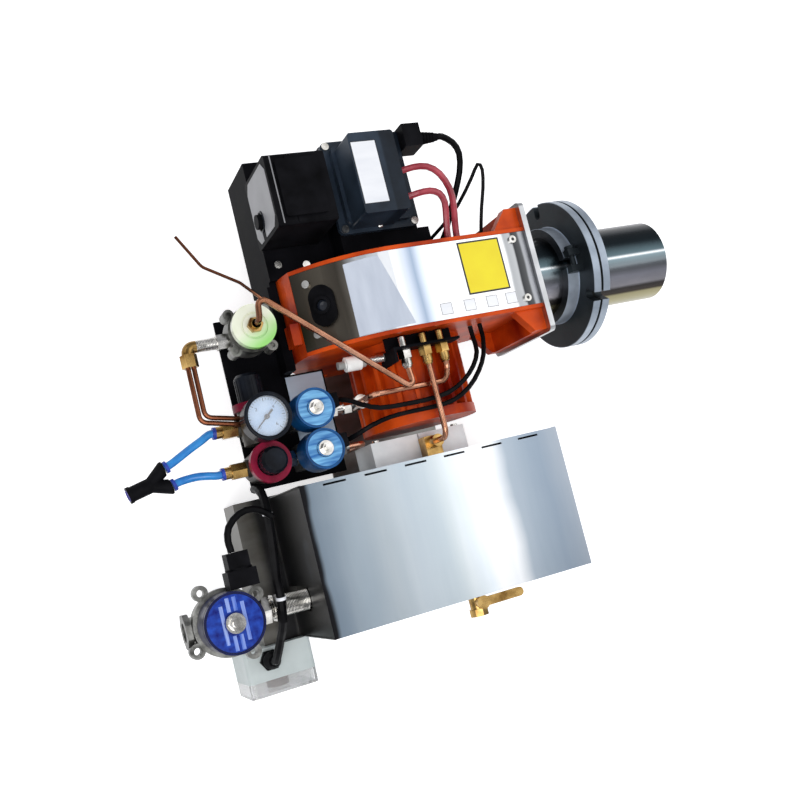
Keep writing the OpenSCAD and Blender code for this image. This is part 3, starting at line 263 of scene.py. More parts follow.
def toneGroup():
    # Broad tone between two colours, roughness that follows it, and fine grain for the bump
    group, given, out = newGroup("surfaceTone", [
        ("Low", "Color", (0.1, 0.1, 0.1, 1)), ("High", "Color", (0.2, 0.2, 0.2, 1)),
        ("Tone Scale", "Float", 20.0), ("Tone Stretch", "Vector", (1, 1, 1)),
        ("Grain Scale", "Float", 900.0), ("Grain Stretch", "Vector", (1, 1, 1)),
        ("Smooth", "Float", 0.3), ("Rough", "Float", 0.5),
    ], ["Color", "Roughness", "Height"])
    place = objectPlace(group)

    def noise(scale, stretch, detail):
        node = group.nodes.new("ShaderNodeTexNoise")
        node.inputs["Detail"].default_value = detail
        link(group, vectorNode(group, "MULTIPLY", place, given.outputs[stretch]), node.inputs["Vector"])
        link(group, given.outputs[scale], node.inputs["Scale"])
        return node.outputs["Fac"]

    tone = noise("Tone Scale", "Tone Stretch", groupValues["toneDetail"])
    grain = noise("Grain Scale", "Grain Stretch", groupValues["grainDetail"])
    share = mathNode(group, "MULTIPLY_ADD", tone, groupValues["contrast"], groupValues["offset"], clamp=True)
    link(group, mixColour(group, share, given.outputs["Low"], given.outputs["High"]), out.inputs["Color"])
    gap = mathNode(group, "SUBTRACT", given.outputs["Rough"], given.outputs["Smooth"])
    more = mathNode(group, "MULTIPLY", gap, tone)
    link(group, mathNode(group, "ADD", more, given.outputs["Smooth"], clamp=True), out.inputs["Roughness"])
    link(group, grain, out.inputs["Height"])
    return group


def ringGroup():
    # Fine turned rings about a centre line: the height waves with the distance from it
    group, given, out = newGroup("turnedRings", [
        ("Centre", "Vector", (0, 0, 0)), ("Across", "Vector", (1, 1, 0)), ("Pitch", "Float", 900.0),
    ], ["Height"])
    moved = vectorNode(group, "SUBTRACT", objectPlace(group), given.outputs["Centre"])
    flat = vectorNode(group, "MULTIPLY", moved, given.outputs["Across"])
    far = vectorNode(group, "LENGTH", flat, output="Value")
    wave = mathNode(group, "SINE", mathNode(group, "MULTIPLY", far, given.outputs["Pitch"]))
    link(group, mathNode(group, "MULTIPLY_ADD", wave, 0.5, 0.5), out.inputs["Height"])
    return group


def bandGroup():
    # Three places of a point: how far it lies along a direction, its angle round the tube's axis from
    # straight up towards the transformer, and how far it stands from that axis
    group, given, out = newGroup("bandPlace", [("Direction", "Vector", (1, 0, 0)), ("Waver", "Float", 0.0)],
                                 ["Distance", "Turn", "Away"])
    place = objectPlace(group)
    along = vectorNode(group, "DOT_PRODUCT", place, given.outputs["Direction"], output="Value")
    blur = group.nodes.new("ShaderNodeTexNoise")
    blur.inputs["Scale"].default_value = groupValues["waverScale"]
    link(group, place, blur.inputs["Vector"])
    aside = mathNode(group, "SUBTRACT", blur.outputs["Fac"], 0.5)
    waver = mathNode(group, "MULTIPLY", aside, given.outputs["Waver"])
    link(group, mathNode(group, "ADD", along, waver), out.inputs["Distance"])
    apart = split(group, place)
    link(group, mathNode(group, "ARCTAN2", apart["Y"], apart["Z"]), out.inputs["Turn"])
    squares = [mathNode(group, "POWER", apart[letter], 2.0) for letter in "YZ"]
    link(group, mathNode(group, "SQRT", mathNode(group, "ADD", *squares)), out.inputs["Away"])
    return group


surfaceTone = toneGroup()
turnedRings = ringGroup()
bandPlace = bandGroup()

# What a finish has unless its own row says otherwise
finishBase = {
    "metal": 0.0, "coat": 0.0, "coatRough": 0.12, "shine": 0.5, "bumpDistance": 0.0006, "ringShare": 0.5,
    "toneStretch": (1, 1, 1), "grainStretch": (1, 1, 1),
}
# One row for each finish: two tones, metal, roughness from and to, scales, stretches, bump and slot
finishValues = {
    "orangeCasting": dict(
        low=(0.20, 0.006, 0.001), high=(0.86, 0.105, 0.006), rough=(0.30, 0.46), tone=16, grain=520,
        bump=0.24, shine=0.14, coat=0.05, slot="orange_paint"),
    "zincSteel": dict(
        low=(0.42, 0.43, 0.44), high=(0.66, 0.67, 0.68), metal=1.0, rough=(0.25, 0.42), tone=30, grain=700,
        bump=0.08, slot="zinc_steel"),
    "polishedTube": dict(
        low=(0.80, 0.80, 0.80), high=(1.0, 1.0, 1.0), metal=1.0, rough=(0.14, 0.26), tone=30,
        toneStretch=(0.4, 1, 1), grain=500, grainStretch=(8, 0.5, 0.5), bump=0.08, slot="polished_stainless"),
    "coverSheet": dict(
        low=(0.84, 0.85, 0.86), high=(1.0, 1.0, 1.0), metal=1.0, rough=(0.24, 0.36), tone=10,
        toneStretch=(3, 0.3, 0.3), grain=900, grainStretch=(6, 0.3, 0.3), bump=0.05,
        slot="polished_stainless"),
    "jacketSheet": dict(
        low=(0.82, 0.85, 0.88), high=(1.0, 1.0, 1.0), metal=1.0, rough=(0.26, 0.38), tone=12,
        toneStretch=(2.6, 0.25, 0.4), grain=1400, grainStretch=(9, 0.25, 0.25), bump=0.08,
        slot="brushed_stainless"),
    "traySheet": dict(
        low=(0.60, 0.58, 0.54), high=(1.0, 1.0, 1.0), metal=0.9, rough=(0.24, 0.42), tone=22,
        toneStretch=(1, 2.4, 1), grain=900, grainStretch=(5, 0.3, 0.3), bump=0.10, slot="tray_stainless"),
    "blackMoulding": dict(
        low=(0.0025, 0.0025, 0.003), high=(0.009, 0.009, 0.011), rough=(0.38, 0.55), tone=40, grain=1500,
        bump=0.12, shine=0.03, slot="black_plastic"),
    "blackCable": dict(
        low=(0.002, 0.002, 0.0025), high=(0.008, 0.008, 0.009), rough=(0.30, 0.44), tone=60, grain=900,
        bump=0.08, shine=0.06, slot="black_rubber"),
    "blackPowder": dict(
        low=(0.002, 0.002, 0.0025), high=(0.007, 0.007, 0.009), rough=(0.40, 0.58), tone=26, grain=800,
        bump=0.14, shine=0.02, slot="black_metal"),
    "glossBlack": dict(
        low=(0.003, 0.0035, 0.005), high=(0.011, 0.014, 0.021), rough=(0.18, 0.32), tone=50, grain=1200,
        bump=0.04, shine=0.10, coat=0.03, slot="gloss_black"),
    "slateMoulding": dict(
        low=(0.010, 0.016, 0.025), high=(0.032, 0.048, 0.072), rough=(0.30, 0.44), tone=30, grain=1300,
        bump=0.14, shine=0.18, slot="slate_plastic"),
    "flangeIron": dict(
        low=(0.34, 0.38, 0.43), high=(0.62, 0.67, 0.73), metal=0.5, rough=(0.30, 0.44), tone=34, grain=600,
        bump=0.20, shine=0.2, rings=((0, 0, 0), (0, 1, 1), 3800), slot="flange_iron"),
    "castGasket": dict(
        low=(0.006, 0.007, 0.007), high=(0.02, 0.021, 0.02), rough=(0.6, 0.8), tone=60, grain=900, bump=0.3,
        shine=0.2, slot="gasket_grey"),
    "darkIron": dict(
        low=(0.05, 0.045, 0.042), high=(0.16, 0.14, 0.13), metal=0.8, rough=(0.45, 0.65), tone=60, grain=700,
        bump=0.3, slot="dark_iron"),
    "lampBrass": dict(
        low=(0.20, 0.105, 0.026), high=(0.64, 0.42, 0.15), metal=1.0, rough=(0.16, 0.34), tone=70, grain=800,
        bump=0.08, slot="brass"),
    "nickelPlate": dict(
        low=(0.34, 0.33, 0.30), high=(0.86, 0.84, 0.80), metal=1.0, rough=(0.10, 0.24), tone=90, grain=800,
        bump=0.06, slot="nickel"),
    "bentCopper": dict(
        low=(0.55, 0.50, 0.46), high=(1.0, 1.0, 1.0), metal=1.0, rough=(0.16, 0.34), tone=40, grain=600,
        bump=0.06, slot="copper"),
    "zincCasting": dict(
        low=(0.055, 0.055, 0.050), high=(0.34, 0.34, 0.32), metal=0.9, rough=(0.32, 0.52), tone=60,
        grain=520, bump=0.30, slot="cast_metal"),
    "regulatorCasting": dict(
        low=(0.018, 0.016, 0.014), high=(0.12, 0.11, 0.095), metal=0.7, rough=(0.32, 0.5), tone=60,
        grain=520, bump=0.26, shine=0.2, slot="cast_metal"),
    "ringCrimson": dict(
        low=(0.11, 0.002, 0.014), high=(0.30, 0.010, 0.045), rough=(0.24, 0.38), tone=60, grain=1200,
        bump=0.05, shine=0.12, coat=0.04, slot="crimson_plastic"),
    "crimsonLead": dict(
        low=(0.26, 0.018, 0.032), high=(0.50, 0.065, 0.090), rough=(0.24, 0.38), tone=50, grain=900,
        bump=0.06, coat=0.2, slot="crimson_rubber"),
    "whiteCeramic": dict(
        low=(0.74, 0.72, 0.66), high=(0.88, 0.87, 0.84), rough=(0.15, 0.25), tone=40, grain=900, bump=0.04,
        slot="white_ceramic"),
    "whiteNylon": dict(
        low=(0.80, 0.80, 0.79), high=(1.0, 1.0, 1.0), rough=(0.25, 0.4), tone=60, grain=900, bump=0.06,
        slot="white_plastic"),
    "greyEnclosure": dict(
        low=(0.42, 0.48, 0.47), high=(0.60, 0.66, 0.65), rough=(0.34, 0.5), tone=20, grain=1300, bump=0.14,
        slot="grey_plastic"),
    "paleCasting": dict(
        low=(0.64, 0.67, 0.68), high=(0.88, 0.91, 0.92), rough=(0.3, 0.48), tone=30, grain=700, bump=0.14,
        slot="light_grey_metal"),
    "brownKnob": dict(
        low=(0.10, 0.035, 0.014), high=(0.20, 0.08, 0.035), rough=(0.24, 0.4), tone=50, grain=900, bump=0.08,
        slot="brown_plastic"),
    "floatOrange": dict(
        low=(0.60, 0.20, 0.03), high=(0.80, 0.32, 0.06), rough=(0.4, 0.5), tone=40, grain=900, bump=0.1,
        slot="orange_plastic"),
    "dialPaper": dict(
        low=(0.36, 0.56, 0.84), high=(0.56, 0.75, 0.98), rough=(0.4, 0.5), tone=60, grain=900, bump=0.02,
        slot="dial_white"),
    "hoseBlue": dict(
        low=(0.010, 0.16, 0.52), high=(0.035, 0.32, 0.78), rough=(0.14, 0.26), tone=50, grain=700, bump=0.03,
        coat=0.3, slot="blue_hose"),
    "colletBlue": dict(
        low=(0.010, 0.030, 0.28), high=(0.030, 0.075, 0.48), rough=(0.2, 0.3), tone=60, grain=900, bump=0.05,
        slot="blue_hose"),
    "releaseViolet": dict(
        low=(0.055, 0.045, 0.34), high=(0.12, 0.10, 0.52), rough=(0.2, 0.3), tone=60, grain=900, bump=0.05,
        slot="blue_hose"),
    "labelWhite": dict(
        low=(0.80, 0.82, 0.86), high=(0.95, 0.96, 0.98), rough=(0.3, 0.42), tone=24,
        toneStretch=(0.5, 2.2, 1), grain=600, bump=0.02, slot="white_plastic"),
    "labelLavender": dict(
        low=(0.44, 0.49, 0.58), high=(0.62, 0.67, 0.76), rough=(0.34, 0.46), tone=18,
        toneStretch=(2.4, 0.5, 1), grain=600, bump=0.02, slot="white_plastic"),
    "plateBlue": dict(
        low=(0.34, 0.44, 0.58), high=(0.62, 0.72, 0.84), metal=0.3, rough=(0.28, 0.42), tone=20,
        toneStretch=(0.4, 1.5, 1), grain=700, bump=0.06, slot="light_grey_metal"),
    "airLabel": dict(
        low=(0.008, 0.11, 0.38), high=(0.24, 0.58, 0.88), rough=(0.24, 0.36), tone=130,
        toneStretch=(0.22, 1.9, 1), grain=900, bump=0.03, shine=0.2, coat=0.06, slot="light_blue_plastic"),
    "labelGrey": dict(
        low=(0.24, 0.24, 0.25), high=(0.32, 0.32, 0.335), rough=(0.35, 0.5), tone=30, grain=900, bump=0.04,
        slot="slate_plastic"),
    "signYellow": dict(
        low=(0.84, 0.66, 0.0), high=(0.92, 0.78, 0.004), rough=(0.28, 0.4), tone=20, grain=600, bump=0.02,
        slot="white_plastic"),
    "tieWhite": dict(
        low=(0.78, 0.80, 0.84), high=(0.95, 0.96, 1.0), rough=(0.25, 0.4), tone=60, grain=900, bump=0.06,
        slot="white_plastic"),
    "tubeRim": dict(
        low=(0.42, 0.42, 0.38), high=(0.80, 0.80, 0.76), metal=1.0, rough=(0.16, 0.28), tone=30, grain=600,
        bump=0.06, slot="polished_stainless"),
    "inkBlack": dict(
        low=(0.01, 0.01, 0.01), high=(0.03, 0.03, 0.03), rough=(0.3, 0.5), tone=60, grain=900, bump=0.02,
        slot="gloss_black"),
    "airCoilBlue": dict(
        low=(0.003, 0.035, 0.12), high=(0.008, 0.10, 0.30), rough=(0.24, 0.36), tone=50, grain=900,
        bump=0.06, shine=0.2, coat=0.06, slot="light_blue_plastic"),
    "oilCoilBlue": dict(
        low=(0.001, 0.002, 0.022), high=(0.004, 0.008, 0.075), rough=(0.24, 0.36), tone=50, grain=900,
        bump=0.06, shine=0.2, coat=0.06, slot="royal_blue_plastic"),
    "oilLabel": dict(
        low=(0.002, 0.010, 0.17), high=(0.012, 0.065, 0.44), rough=(0.24, 0.36), tone=150, grain=900,
        bump=0.03, shine=0.2, coat=0.06, slot="royal_blue_plastic"),
    "oilStreak": dict(
        low=(0.05, 0.13, 0.56), high=(0.34, 0.44, 0.80), rough=(0.24, 0.36), tone=170,
        toneStretch=(2.2, 0.12, 1), grain=900, bump=0.02, shine=0.2, slot="royal_blue_plastic"),
    "sightGlass": dict(
        low=(0.003, 0.004, 0.007), high=(0.018, 0.022, 0.034), rough=(0.06, 0.12), tone=60, grain=600,
        bump=0.01, coat=0.3, slot="clear_glass"),
    "paleCap": dict(
        low=(0.80, 0.86, 0.62), high=(0.93, 0.94, 0.80), rough=(0.2, 0.3), tone=30, grain=900, bump=0.03,
        coat=0.3, slot="pale_green_plastic"),
}
# Clear finishes: tint, least roughness, slot, share of light let through and share that covers
clearValues = {
    "gaugeGlass": ((0.93, 0.96, 1.0), 0.02, "clear_glass", 0.0, 0.16),
    "clearLidPlastic": ((0.86, 0.88, 0.88), 0.08, "clear_plastic", 0.8, 1.0),
}
clearBase = {"high": (1, 1, 1), "tone": 30, "grain": 600, "roughSpan": 0.06, "bending": 1.45}
finishes, finishSlot = {}, {}


def principled(name):
    material = bpy.data.materials.new(name)
    material.use_nodes = True
    return material, material.node_tree, material.node_tree.nodes["Principled BSDF"]


def toneNode(tree, shader, row):
    # The broad tone drives the colour and the roughness of the shader
    row = {**finishBase, **row}
    node = groupNode(tree, surfaceTone, {
        "Low": (*row["low"], 1), "High": (*row["high"], 1), "Tone Scale": row["tone"],
        "Tone Stretch": row["toneStretch"], "Grain Scale": row["grain"], "Grain Stretch": row["grainStretch"],
        "Smooth": row["rough"][0], "Rough": row["rough"][1],
    })
    link(tree, node.outputs["Color"], shader.inputs["Base Color"])
    link(tree, node.outputs["Roughness"], shader.inputs["Roughness"])
    return node


def makeFinish(name, row):
    row = {**finishBase, **row}
    material, tree, shader = principled(name)
    height = toneNode(tree, shader, row).outputs["Height"]
    shader.inputs["Metallic"].default_value = row["metal"]
    shader.inputs["Coat Weight"].default_value = row["coat"]
    shader.inputs["Coat Roughness"].default_value = row["coatRough"]
    shader.inputs["Specular IOR Level"].default_value = row["shine"]
    bump = tree.nodes.new("ShaderNodeBump")
    bump.inputs["Strength"].default_value = row["bump"]
    bump.inputs["Distance"].default_value = row["bumpDistance"]
    if "rings" in row:
        rings = groupNode(tree, turnedRings, dict(zip(("Centre", "Across", "Pitch"), row["rings"])))
        shared = mathNode(tree, "MULTIPLY", rings.outputs["Height"], row["ringShare"])
        height = mathNode(tree, "ADD", height, shared)
    link(tree, height, bump.inputs["Height"])
    link(tree, bump.outputs["Normal"], shader.inputs["Normal"])
    finishes[name] = material
    finishSlot[name] = row["slot"]


def clearFinish(name, tint, rough, slot, through, cover):
    material, tree, shader = principled(name)
    toneNode(tree, shader, {**clearBase, "low": tint, "rough": (rough, rough + clearBase["roughSpan"])})
    shader.inputs["Transmission Weight"].default_value = through
    shader.inputs["Alpha"].default_value = cover
    shader.inputs["IOR"].default_value = clearBase["bending"]
    finishes[name] = material
    finishSlot[name] = slot


for finishName, row in finishValues.items():
    makeFinish(finishName, row)
for finishName, row in clearValues.items():
    clearFinish(finishName, *row)


def bandedFinish(name, direction, waver, reach, stops):
    # The finish's tone is multiplied by the colour of the stops, which lie between the two ends of reach:
    # metres along the direction, or the named place in metres or radians
    # Most uses below paint reflections, highlights and shade into the base colour this way
    tree = finishes[name].node_tree
    shader = tree.nodes["Principled BSDF"]
    given = shader.inputs["Base Color"].links[0].from_socket
    start, length = reach[0], reach[1] - reach[0]
    named = isinstance(direction, str)
    values = {"Waver": waver} if named else {"Waver": waver, "Direction": direction}
    where = groupNode(tree, bandPlace, values).outputs[direction if named else "Distance"]
    ramp = tree.nodes.new("ShaderNodeValToRGB")
    share = mathNode(tree, "DIVIDE", mathNode(tree, "SUBTRACT", where, start), length, clamp=True)
    link(tree, share, ramp.inputs["Fac"])
    marks = ramp.color_ramp.elements
    while len(marks) < len(stops):
        marks.new(0.5)
    for mark, (at, colour) in zip(marks, stops):
        mark.position = (at - start) / length
        mark.color = (*colour, 1)
    both = mixColour(tree, 1.0, given, ramp.outputs["Color"], "MULTIPLY")
    link(tree, both, shader.inputs["Base Color"])


# Tube: painted reflections and shade round its axis: painted shade above, one painted highlight line, a pale
# painted reflection below the middle, painted shade and an olive painted reflection at the far side. Angles in
# radians
bandedFinish("polishedTube", "Turn", 0.0, (-3.15, 3.15), [
    (-3.1, (0.30, 0.29, 0.27)), (-2.08, (0.22, 0.20, 0.10)), (-1.28, (0.34, 0.31, 0.17)),
    (-1.06, (0.30, 0.27, 0.15)), (-0.99, (0.036, 0.028, 0.022)), (-0.84, (0.10, 0.09, 0.085)),
    (-0.76, (0.55, 0.53, 0.56)), (-0.50, (0.50, 0.50, 0.56)), (-0.36, (0.26, 0.27, 0.29)),
    (-0.18, (0.18, 0.22, 0.24)), (-0.06, (0.20, 0.27, 0.30)), (-0.02, (0.95, 0.98, 1.0)),
    (0.03, (0.10, 0.15, 0.17)), (0.29, (0.035, 0.05, 0.058)), (0.92, (0.012, 0.014, 0.018)),
    (1.57, (0.12, 0.13, 0.14)), (3.1, (0.30, 0.30, 0.28))])
# Flange: dark faces, with painted highlights as bright rims on the disc and the hub
bandedFinish("flangeIron", "Away", 0.0, (0.040, 0.090), [
    (0.0405, (0.05, 0.05, 0.052)), (0.0538, (0.045, 0.05, 0.055)), (0.0543, (0.85, 0.88, 0.92)),
    (0.0552, (0.70, 0.74, 0.80)), (0.0558, (0.040, 0.048, 0.050)), (0.0795, (0.045, 0.052, 0.056)),
    (0.0815, (0.060, 0.066, 0.070)), (0.0822, (0.80, 0.84, 0.88)), (0.0899, (0.82, 0.86, 0.90))])
# Cover, painted reflections and shade along X: dark olive painted shade at the rear, a grey-blue painted
# reflection at the fold, then bright, with a dark band of painted shade before the end plate
bandedFinish("coverSheet", (1, 0, 0), 0.006, (-0.335, -0.075), [
    (-0.333, (0.050, 0.043, 0.034)), (-0.304, (0.12, 0.105, 0.083)), (-0.290, (0.085, 0.074, 0.060)),
    (-0.283, (0.20, 0.18, 0.15)), (-0.270, (0.78, 0.80, 0.84)), (-0.232, (0.86, 0.88, 0.90)),
    (-0.222, (0.60, 0.66, 0.76)), (-0.214, (0.34, 0.42, 0.54)), (-0.207, (0.66, 0.73, 0.83)),
    (-0.198, (0.96, 0.97, 0.98)), (-0.109, (0.97, 0.97, 0.97)), (-0.106, (0.40, 0.41, 0.42)),
    (-0.098, (0.46, 0.47, 0.48)), (-0.0965, (0.05, 0.052, 0.055)), (-0.089, (0.09, 0.092, 0.095)),
    (-0.087, (0.36, 0.37, 0.39)), (-0.080, (0.30, 0.31, 0.33))])
# Jacket, painted reflections and shade along X: a dark painted shade at the left edge, a grey-blue painted
# reflection, a white painted highlight band, grey-blue painted reflection again
bandedFinish("jacketSheet", (1, 0, 0), 0.016, (-0.38, -0.075), [
    (-0.3745, (0.012, 0.012, 0.013)), (-0.3700, (0.016, 0.016, 0.018)), (-0.3660, (0.20, 0.25, 0.30)),
    (-0.329, (0.36, 0.42, 0.47)), (-0.301, (0.46, 0.51, 0.54)), (-0.270, (0.53, 0.59, 0.63)),
    (-0.228, (0.64, 0.70, 0.72)), (-0.200, (0.90, 0.95, 0.98)), (-0.192, (1.00, 1.00, 1.00)),
    (-0.166, (1.00, 1.00, 1.00)), (-0.148, (0.40, 0.46, 0.52)), (-0.108, (0.29, 0.35, 0.42)),
    (-0.084, (0.38, 0.42, 0.47))])
# Tray: olive grey on the left, a dark stretch of painted shade and painted reflection of the black parts near
# it, then grey
bandedFinish("traySheet", (1, 0, 0), 0.012, (-0.42, -0.05), [
    (-0.415, (0.24, 0.235, 0.22)), (-0.398, (0.17, 0.165, 0.15)), (-0.389, (0.030, 0.030, 0.032)),
    (-0.375, (0.018, 0.018, 0.020)), (-0.36, (0.30, 0.30, 0.29))])
# Copper: dark brown on the left, bright to the right
bandedFinish("bentCopper", (1, 0, 0), 0.0, (-0.45, -0.19), [
    (-0.445, (0.20, 0.070, 0.035)), (-0.400, (0.15, 0.055, 0.030)), (-0.384, (0.10, 0.040, 0.024)),
    (-0.372, (0.62, 0.27, 0.15)), (-0.300, (0.84, 0.44, 0.29)), (-0.195, (0.74, 0.36, 0.22))])
# Transformer: full tone on its base and top, painted shade darkening the shoulder beside the top
bandedFinish("slateMoulding", (1, 0, 0), 0.0, (-0.30, -0.17), [
    (-0.299, (1.0, 1.0, 1.0)), (-0.2225, (1.0, 1.0, 1.0)), (-0.2205, (0.42, 0.44, 0.46)),
    (-0.171, (0.50, 0.52, 0.54))])
# Adjusting rod: white knob between metal ends
bandedFinish("whiteNylon", (1, 0, 0), 0.0, (-0.31, -0.25), [
    (-0.2995, (0.30, 0.30, 0.29)), (-0.2982, (1.0, 1.0, 0.98)), (-0.2815, (1.0, 1.0, 0.98)),
    (-0.2805, (0.34, 0.33, 0.32)), (-0.252, (0.28, 0.27, 0.26))])

# Pale cap: cream above, running to green on the side towards the tank
capGreen = {
    "colour": (0.30, 0.72, 0.16, 1), "centre": (-0.380, -0.007), "lean": 0.55, "steep": 42.0, "least": 0.1,
}


def capFinish():
    tree = finishes["paleCap"].node_tree
    shader = tree.nodes["Principled BSDF"]
    given = shader.inputs["Base Color"].links[0].from_socket
    apart = split(tree, objectPlace(tree))
    right, above = (mathNode(tree, "ADD", apart[letter], -at) for letter, at in zip("XY", capGreen["centre"]))
    lean = mathNode(tree, "SUBTRACT", mathNode(tree, "MULTIPLY", right, capGreen["lean"]), above)
    share = mathNode(tree, "MULTIPLY_ADD", lean, capGreen["steep"], capGreen["least"], clamp=True)
    link(tree, mixColour(tree, share, given, capGreen["colour"]), shader.inputs["Base Color"])


capFinish()
print("stage: finishes made", len(finishes))

nodeFinish = {
    "orangeCasting": ["burner_housing", "motor_body"],
    "coverSheet": ["top_cover"],
    "jacketSheet": ["tank_jacket"],
    "traySheet": ["base_tray", "oil_tank"],
    "polishedTube": ["blast_tube"],
    "flangeIron": ["sliding_flange", "counter_flange"],
    "castGasket": ["flange_gasket"],
    "darkIron": ["diffuser_disc", "heater"],
    "zincSteel": [
        "end_plate", "fan_wheel", "motor_shaft", "air_damper", "plunger_1", "plunger_2", "oil_plunger"],
    "zincCasting": ["oil_regulator", "valve_bodies"],
    "regulatorCasting": ["air_regulators"],
    "paleCasting": ["junction_box"],
    "paleCap": ["regulator_cap"],
    "blackPowder": ["air_box", "brackets"],
    "blackMoulding": ["sight_bezel", "control_box", "reset_button", "cable_glands", "y_connector"],
    "blackCable": ["cable_harness"],
    "glossBlack": ["knob_1", "knob_2", "gauge_case", "gauge_needle"],
    "slateMoulding": ["transformer"],
    "crimsonLead": ["hv_leads"],
    "ringCrimson": ["regulator_rings"],
    "whiteNylon": ["adjust_rod"],
    "whiteCeramic": ["electrodes"],
    "bentCopper": ["copper_tubes", "oil_line"],
    "lampBrass": ["nozzle_lance", "brass_fittings", "drain_valve", "drain_lever"],
    "nickelPlate": ["screws", "nickel_fittings", "coil_nuts"],
    "dialPaper": ["gauge_dial"],
    "gaugeGlass": ["gauge_lens"],
    "airCoilBlue": ["air_valve_coils"],
    "oilCoilBlue": ["oil_valve_coil"],
    "floatOrange": ["tank_float"],
    "greyEnclosure": ["enclosure"],
    "clearLidPlastic": ["clear_lid"],
    "brownKnob": ["thermostat_knob"],
}
for finish, names in nodeFinish.items():
    for nodeName in names:
        nodes[nodeName].data.materials.clear()
        nodes[nodeName].data.materials.append(finishes[finish])
print("stage: nodes dressed", sum(len(names) for names in nodeFinish.values()))

# Air hoses between the regulator fittings and the joining piece, each end in a short collet
hoses = {
    "hose_1": [
        (-431.3, -97, -18), (-437, -97, -18), (-446, -101.5, -18), (-457, -106.5, -19), (-468, -112, -20),
        (-478, -117, -20), (-486, -120, -20)],
    "hose_2": [
        (-431.3, -138, -18), (-439, -138, -18), (-446, -136.6, -18), (-456, -135, -19), (-466, -135, -20),
        (-475, -136, -20), (-482, -138, -20)],
    "diameter": 8.0,
    "steps": 6,
    "sides": 24,
}
collet = {"profile": [(0, 4.6), (0, 6.2), (3.2, 6.2), (3.2, 4.6)], "back": 1.5, "sides": 32}
for hoseName in ("hose_1", "hose_2"):
    number = hoseName[-1]
    line = smoothPath(hoses[hoseName], hoses["steps"])
    hose = carried("airHose" + number, line, hoses["diameter"] / 2, "hoseBlue", sides=hoses["sides"])
    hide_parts(hoseName)
    for label, at, way in (("Near", line[1], line[4] - line[0]), ("Far", line[-3], line[-1] - line[-5])):
        start = at - unit(way) * collet["back"]
        turned("hoseCollet" + label + number, start, way, collet["profile"], "colletBlue",
               sides=collet["sides"])
print("stage: hoses laid")

# Cover plates follow the sheet: flat in front of the bend, then along its curve
cover = {"top": 61.5, "bendX": -225.0, "bendR": 140.5, "squares": (-190.0, -163.0, -137.0, -114.0)}
# Four corners as X and Y, points each way, thickness and finish
coverPlates = {
    "sheetLabel": (
        [(-284, -39.5), (-226.6, -37.7), (-249, 37), (-283.5, 35)], (24, 8), 0.15, "labelLavender"),
    "signRim": (
        [(-161, -19), (-112, -19), (-112, 37), (-161, 37)], (3, 3), 0.16, "inkBlack"),
    "signPlate": (
        [(-159.2, -17.2), (-113.8, -17.2), (-113.8, 35.2), (-159.2, 35.2)], (3, 3), 0.26, "signYellow"),
}
# Small square plates: half sizes in X and Y, thickness and finish, about a centre at each X
squareY = -29.0
squareLayers = {"squareRim": (6.5, 6.0, 0.12, "labelGrey"), "squarePlate": (5.9, 5.4, 0.2, "labelWhite")}
for i, x in enumerate(cover["squares"]):
    for label, (halfX, halfY, thick, finish) in squareLayers.items():
        corners = [(x + a * halfX, squareY + b * halfY) for a, b in ((-1, -1), (1, -1), (1, 1), (-1, 1))]
        coverPlates[label + str(i)] = (corners, (3, 3), thick, finish)


def onCover(corners):
    # Corners given as X and Y are blended both ways, with the height of the sheet there
    c = np.asarray(corners, float)

    def surface(u, v):
        shares = ((1 - u) * (1 - v), u * (1 - v), u * v, (1 - u) * v)
        flat = sum(share[..., None] * corner for share, corner in zip(shares, c))
        run = np.maximum(0.0, cover["bendX"] - flat[..., 0])
        height = cover["top"] - cover["bendR"] + np.sqrt(cover["bendR"] ** 2 - run ** 2)
        return np.concatenate([flat, height[..., None]], -1)
    return surface


for plateName, (corners, size, thick, finish) in coverPlates.items():
    slab(plateName, onCover(corners), size, thick, finish)


def flatPlate(name, origin, along, across, thick, finish):
    # Rectangle: a point of it is the corner plus u times one edge plus v times the other
    o, a, b = (np.asarray(w, float) for w in (origin, along, across))
    return slab(name, lambda u, v: o + u[..., None] * a + v[..., None] * b, (3, 3), thick, finish)


# Flat plates: one corner, length in X, length in Y, thickness and finish
plates = {
    "transformerLabelRim": ((-254.6, 85.4, 74), 27.2, 65.2, 0.14, "inkBlack"),
    "transformerLabel": ((-254, 86, 74), 26, 64, 0.24, "labelWhite"),
    # Grey strip along the seam of the black control box: a painted highlight
    "boxSeamHighlight": ((-339.4, 78, 70), 1.2, 68, 0.3, "labelGrey"),
    "valvePlate": ((-341.5, -122, -40.8), 40.5, 70, 0.8, "plateBlue"),
}
for plateName, (corner, lengthX, lengthY, thick, finish) in plates.items():
    flatPlate(plateName, corner, (lengthX, 0, 0), (0, lengthY, 0), thick, finish)

# Heads of the small fasteners: height and radius from seat to crown
heads = {
    "base": [(-0.5, 3.4), (0.1, 3.4), (1.5, 3.0), (2.3, 2.0), (2.5, 0.4)],
    "rivet": [(-0.5, 3.0), (0.1, 3.0), (0.9, 2.5), (1.4, 1.5), (1.5, 0.4)],
    "lid": [(-0.4, 3.2), (0.1, 3.2), (0.35, 2.9), (0.4, 0.4)],
    "socket": [(0, 1.9), (0.12, 1.9), (0.12, 0.3)],
}
baseScrew = (-223, 77, 26)
turned("baseScrew", baseScrew, up, heads["base"], "nickelPlate", sides=32)

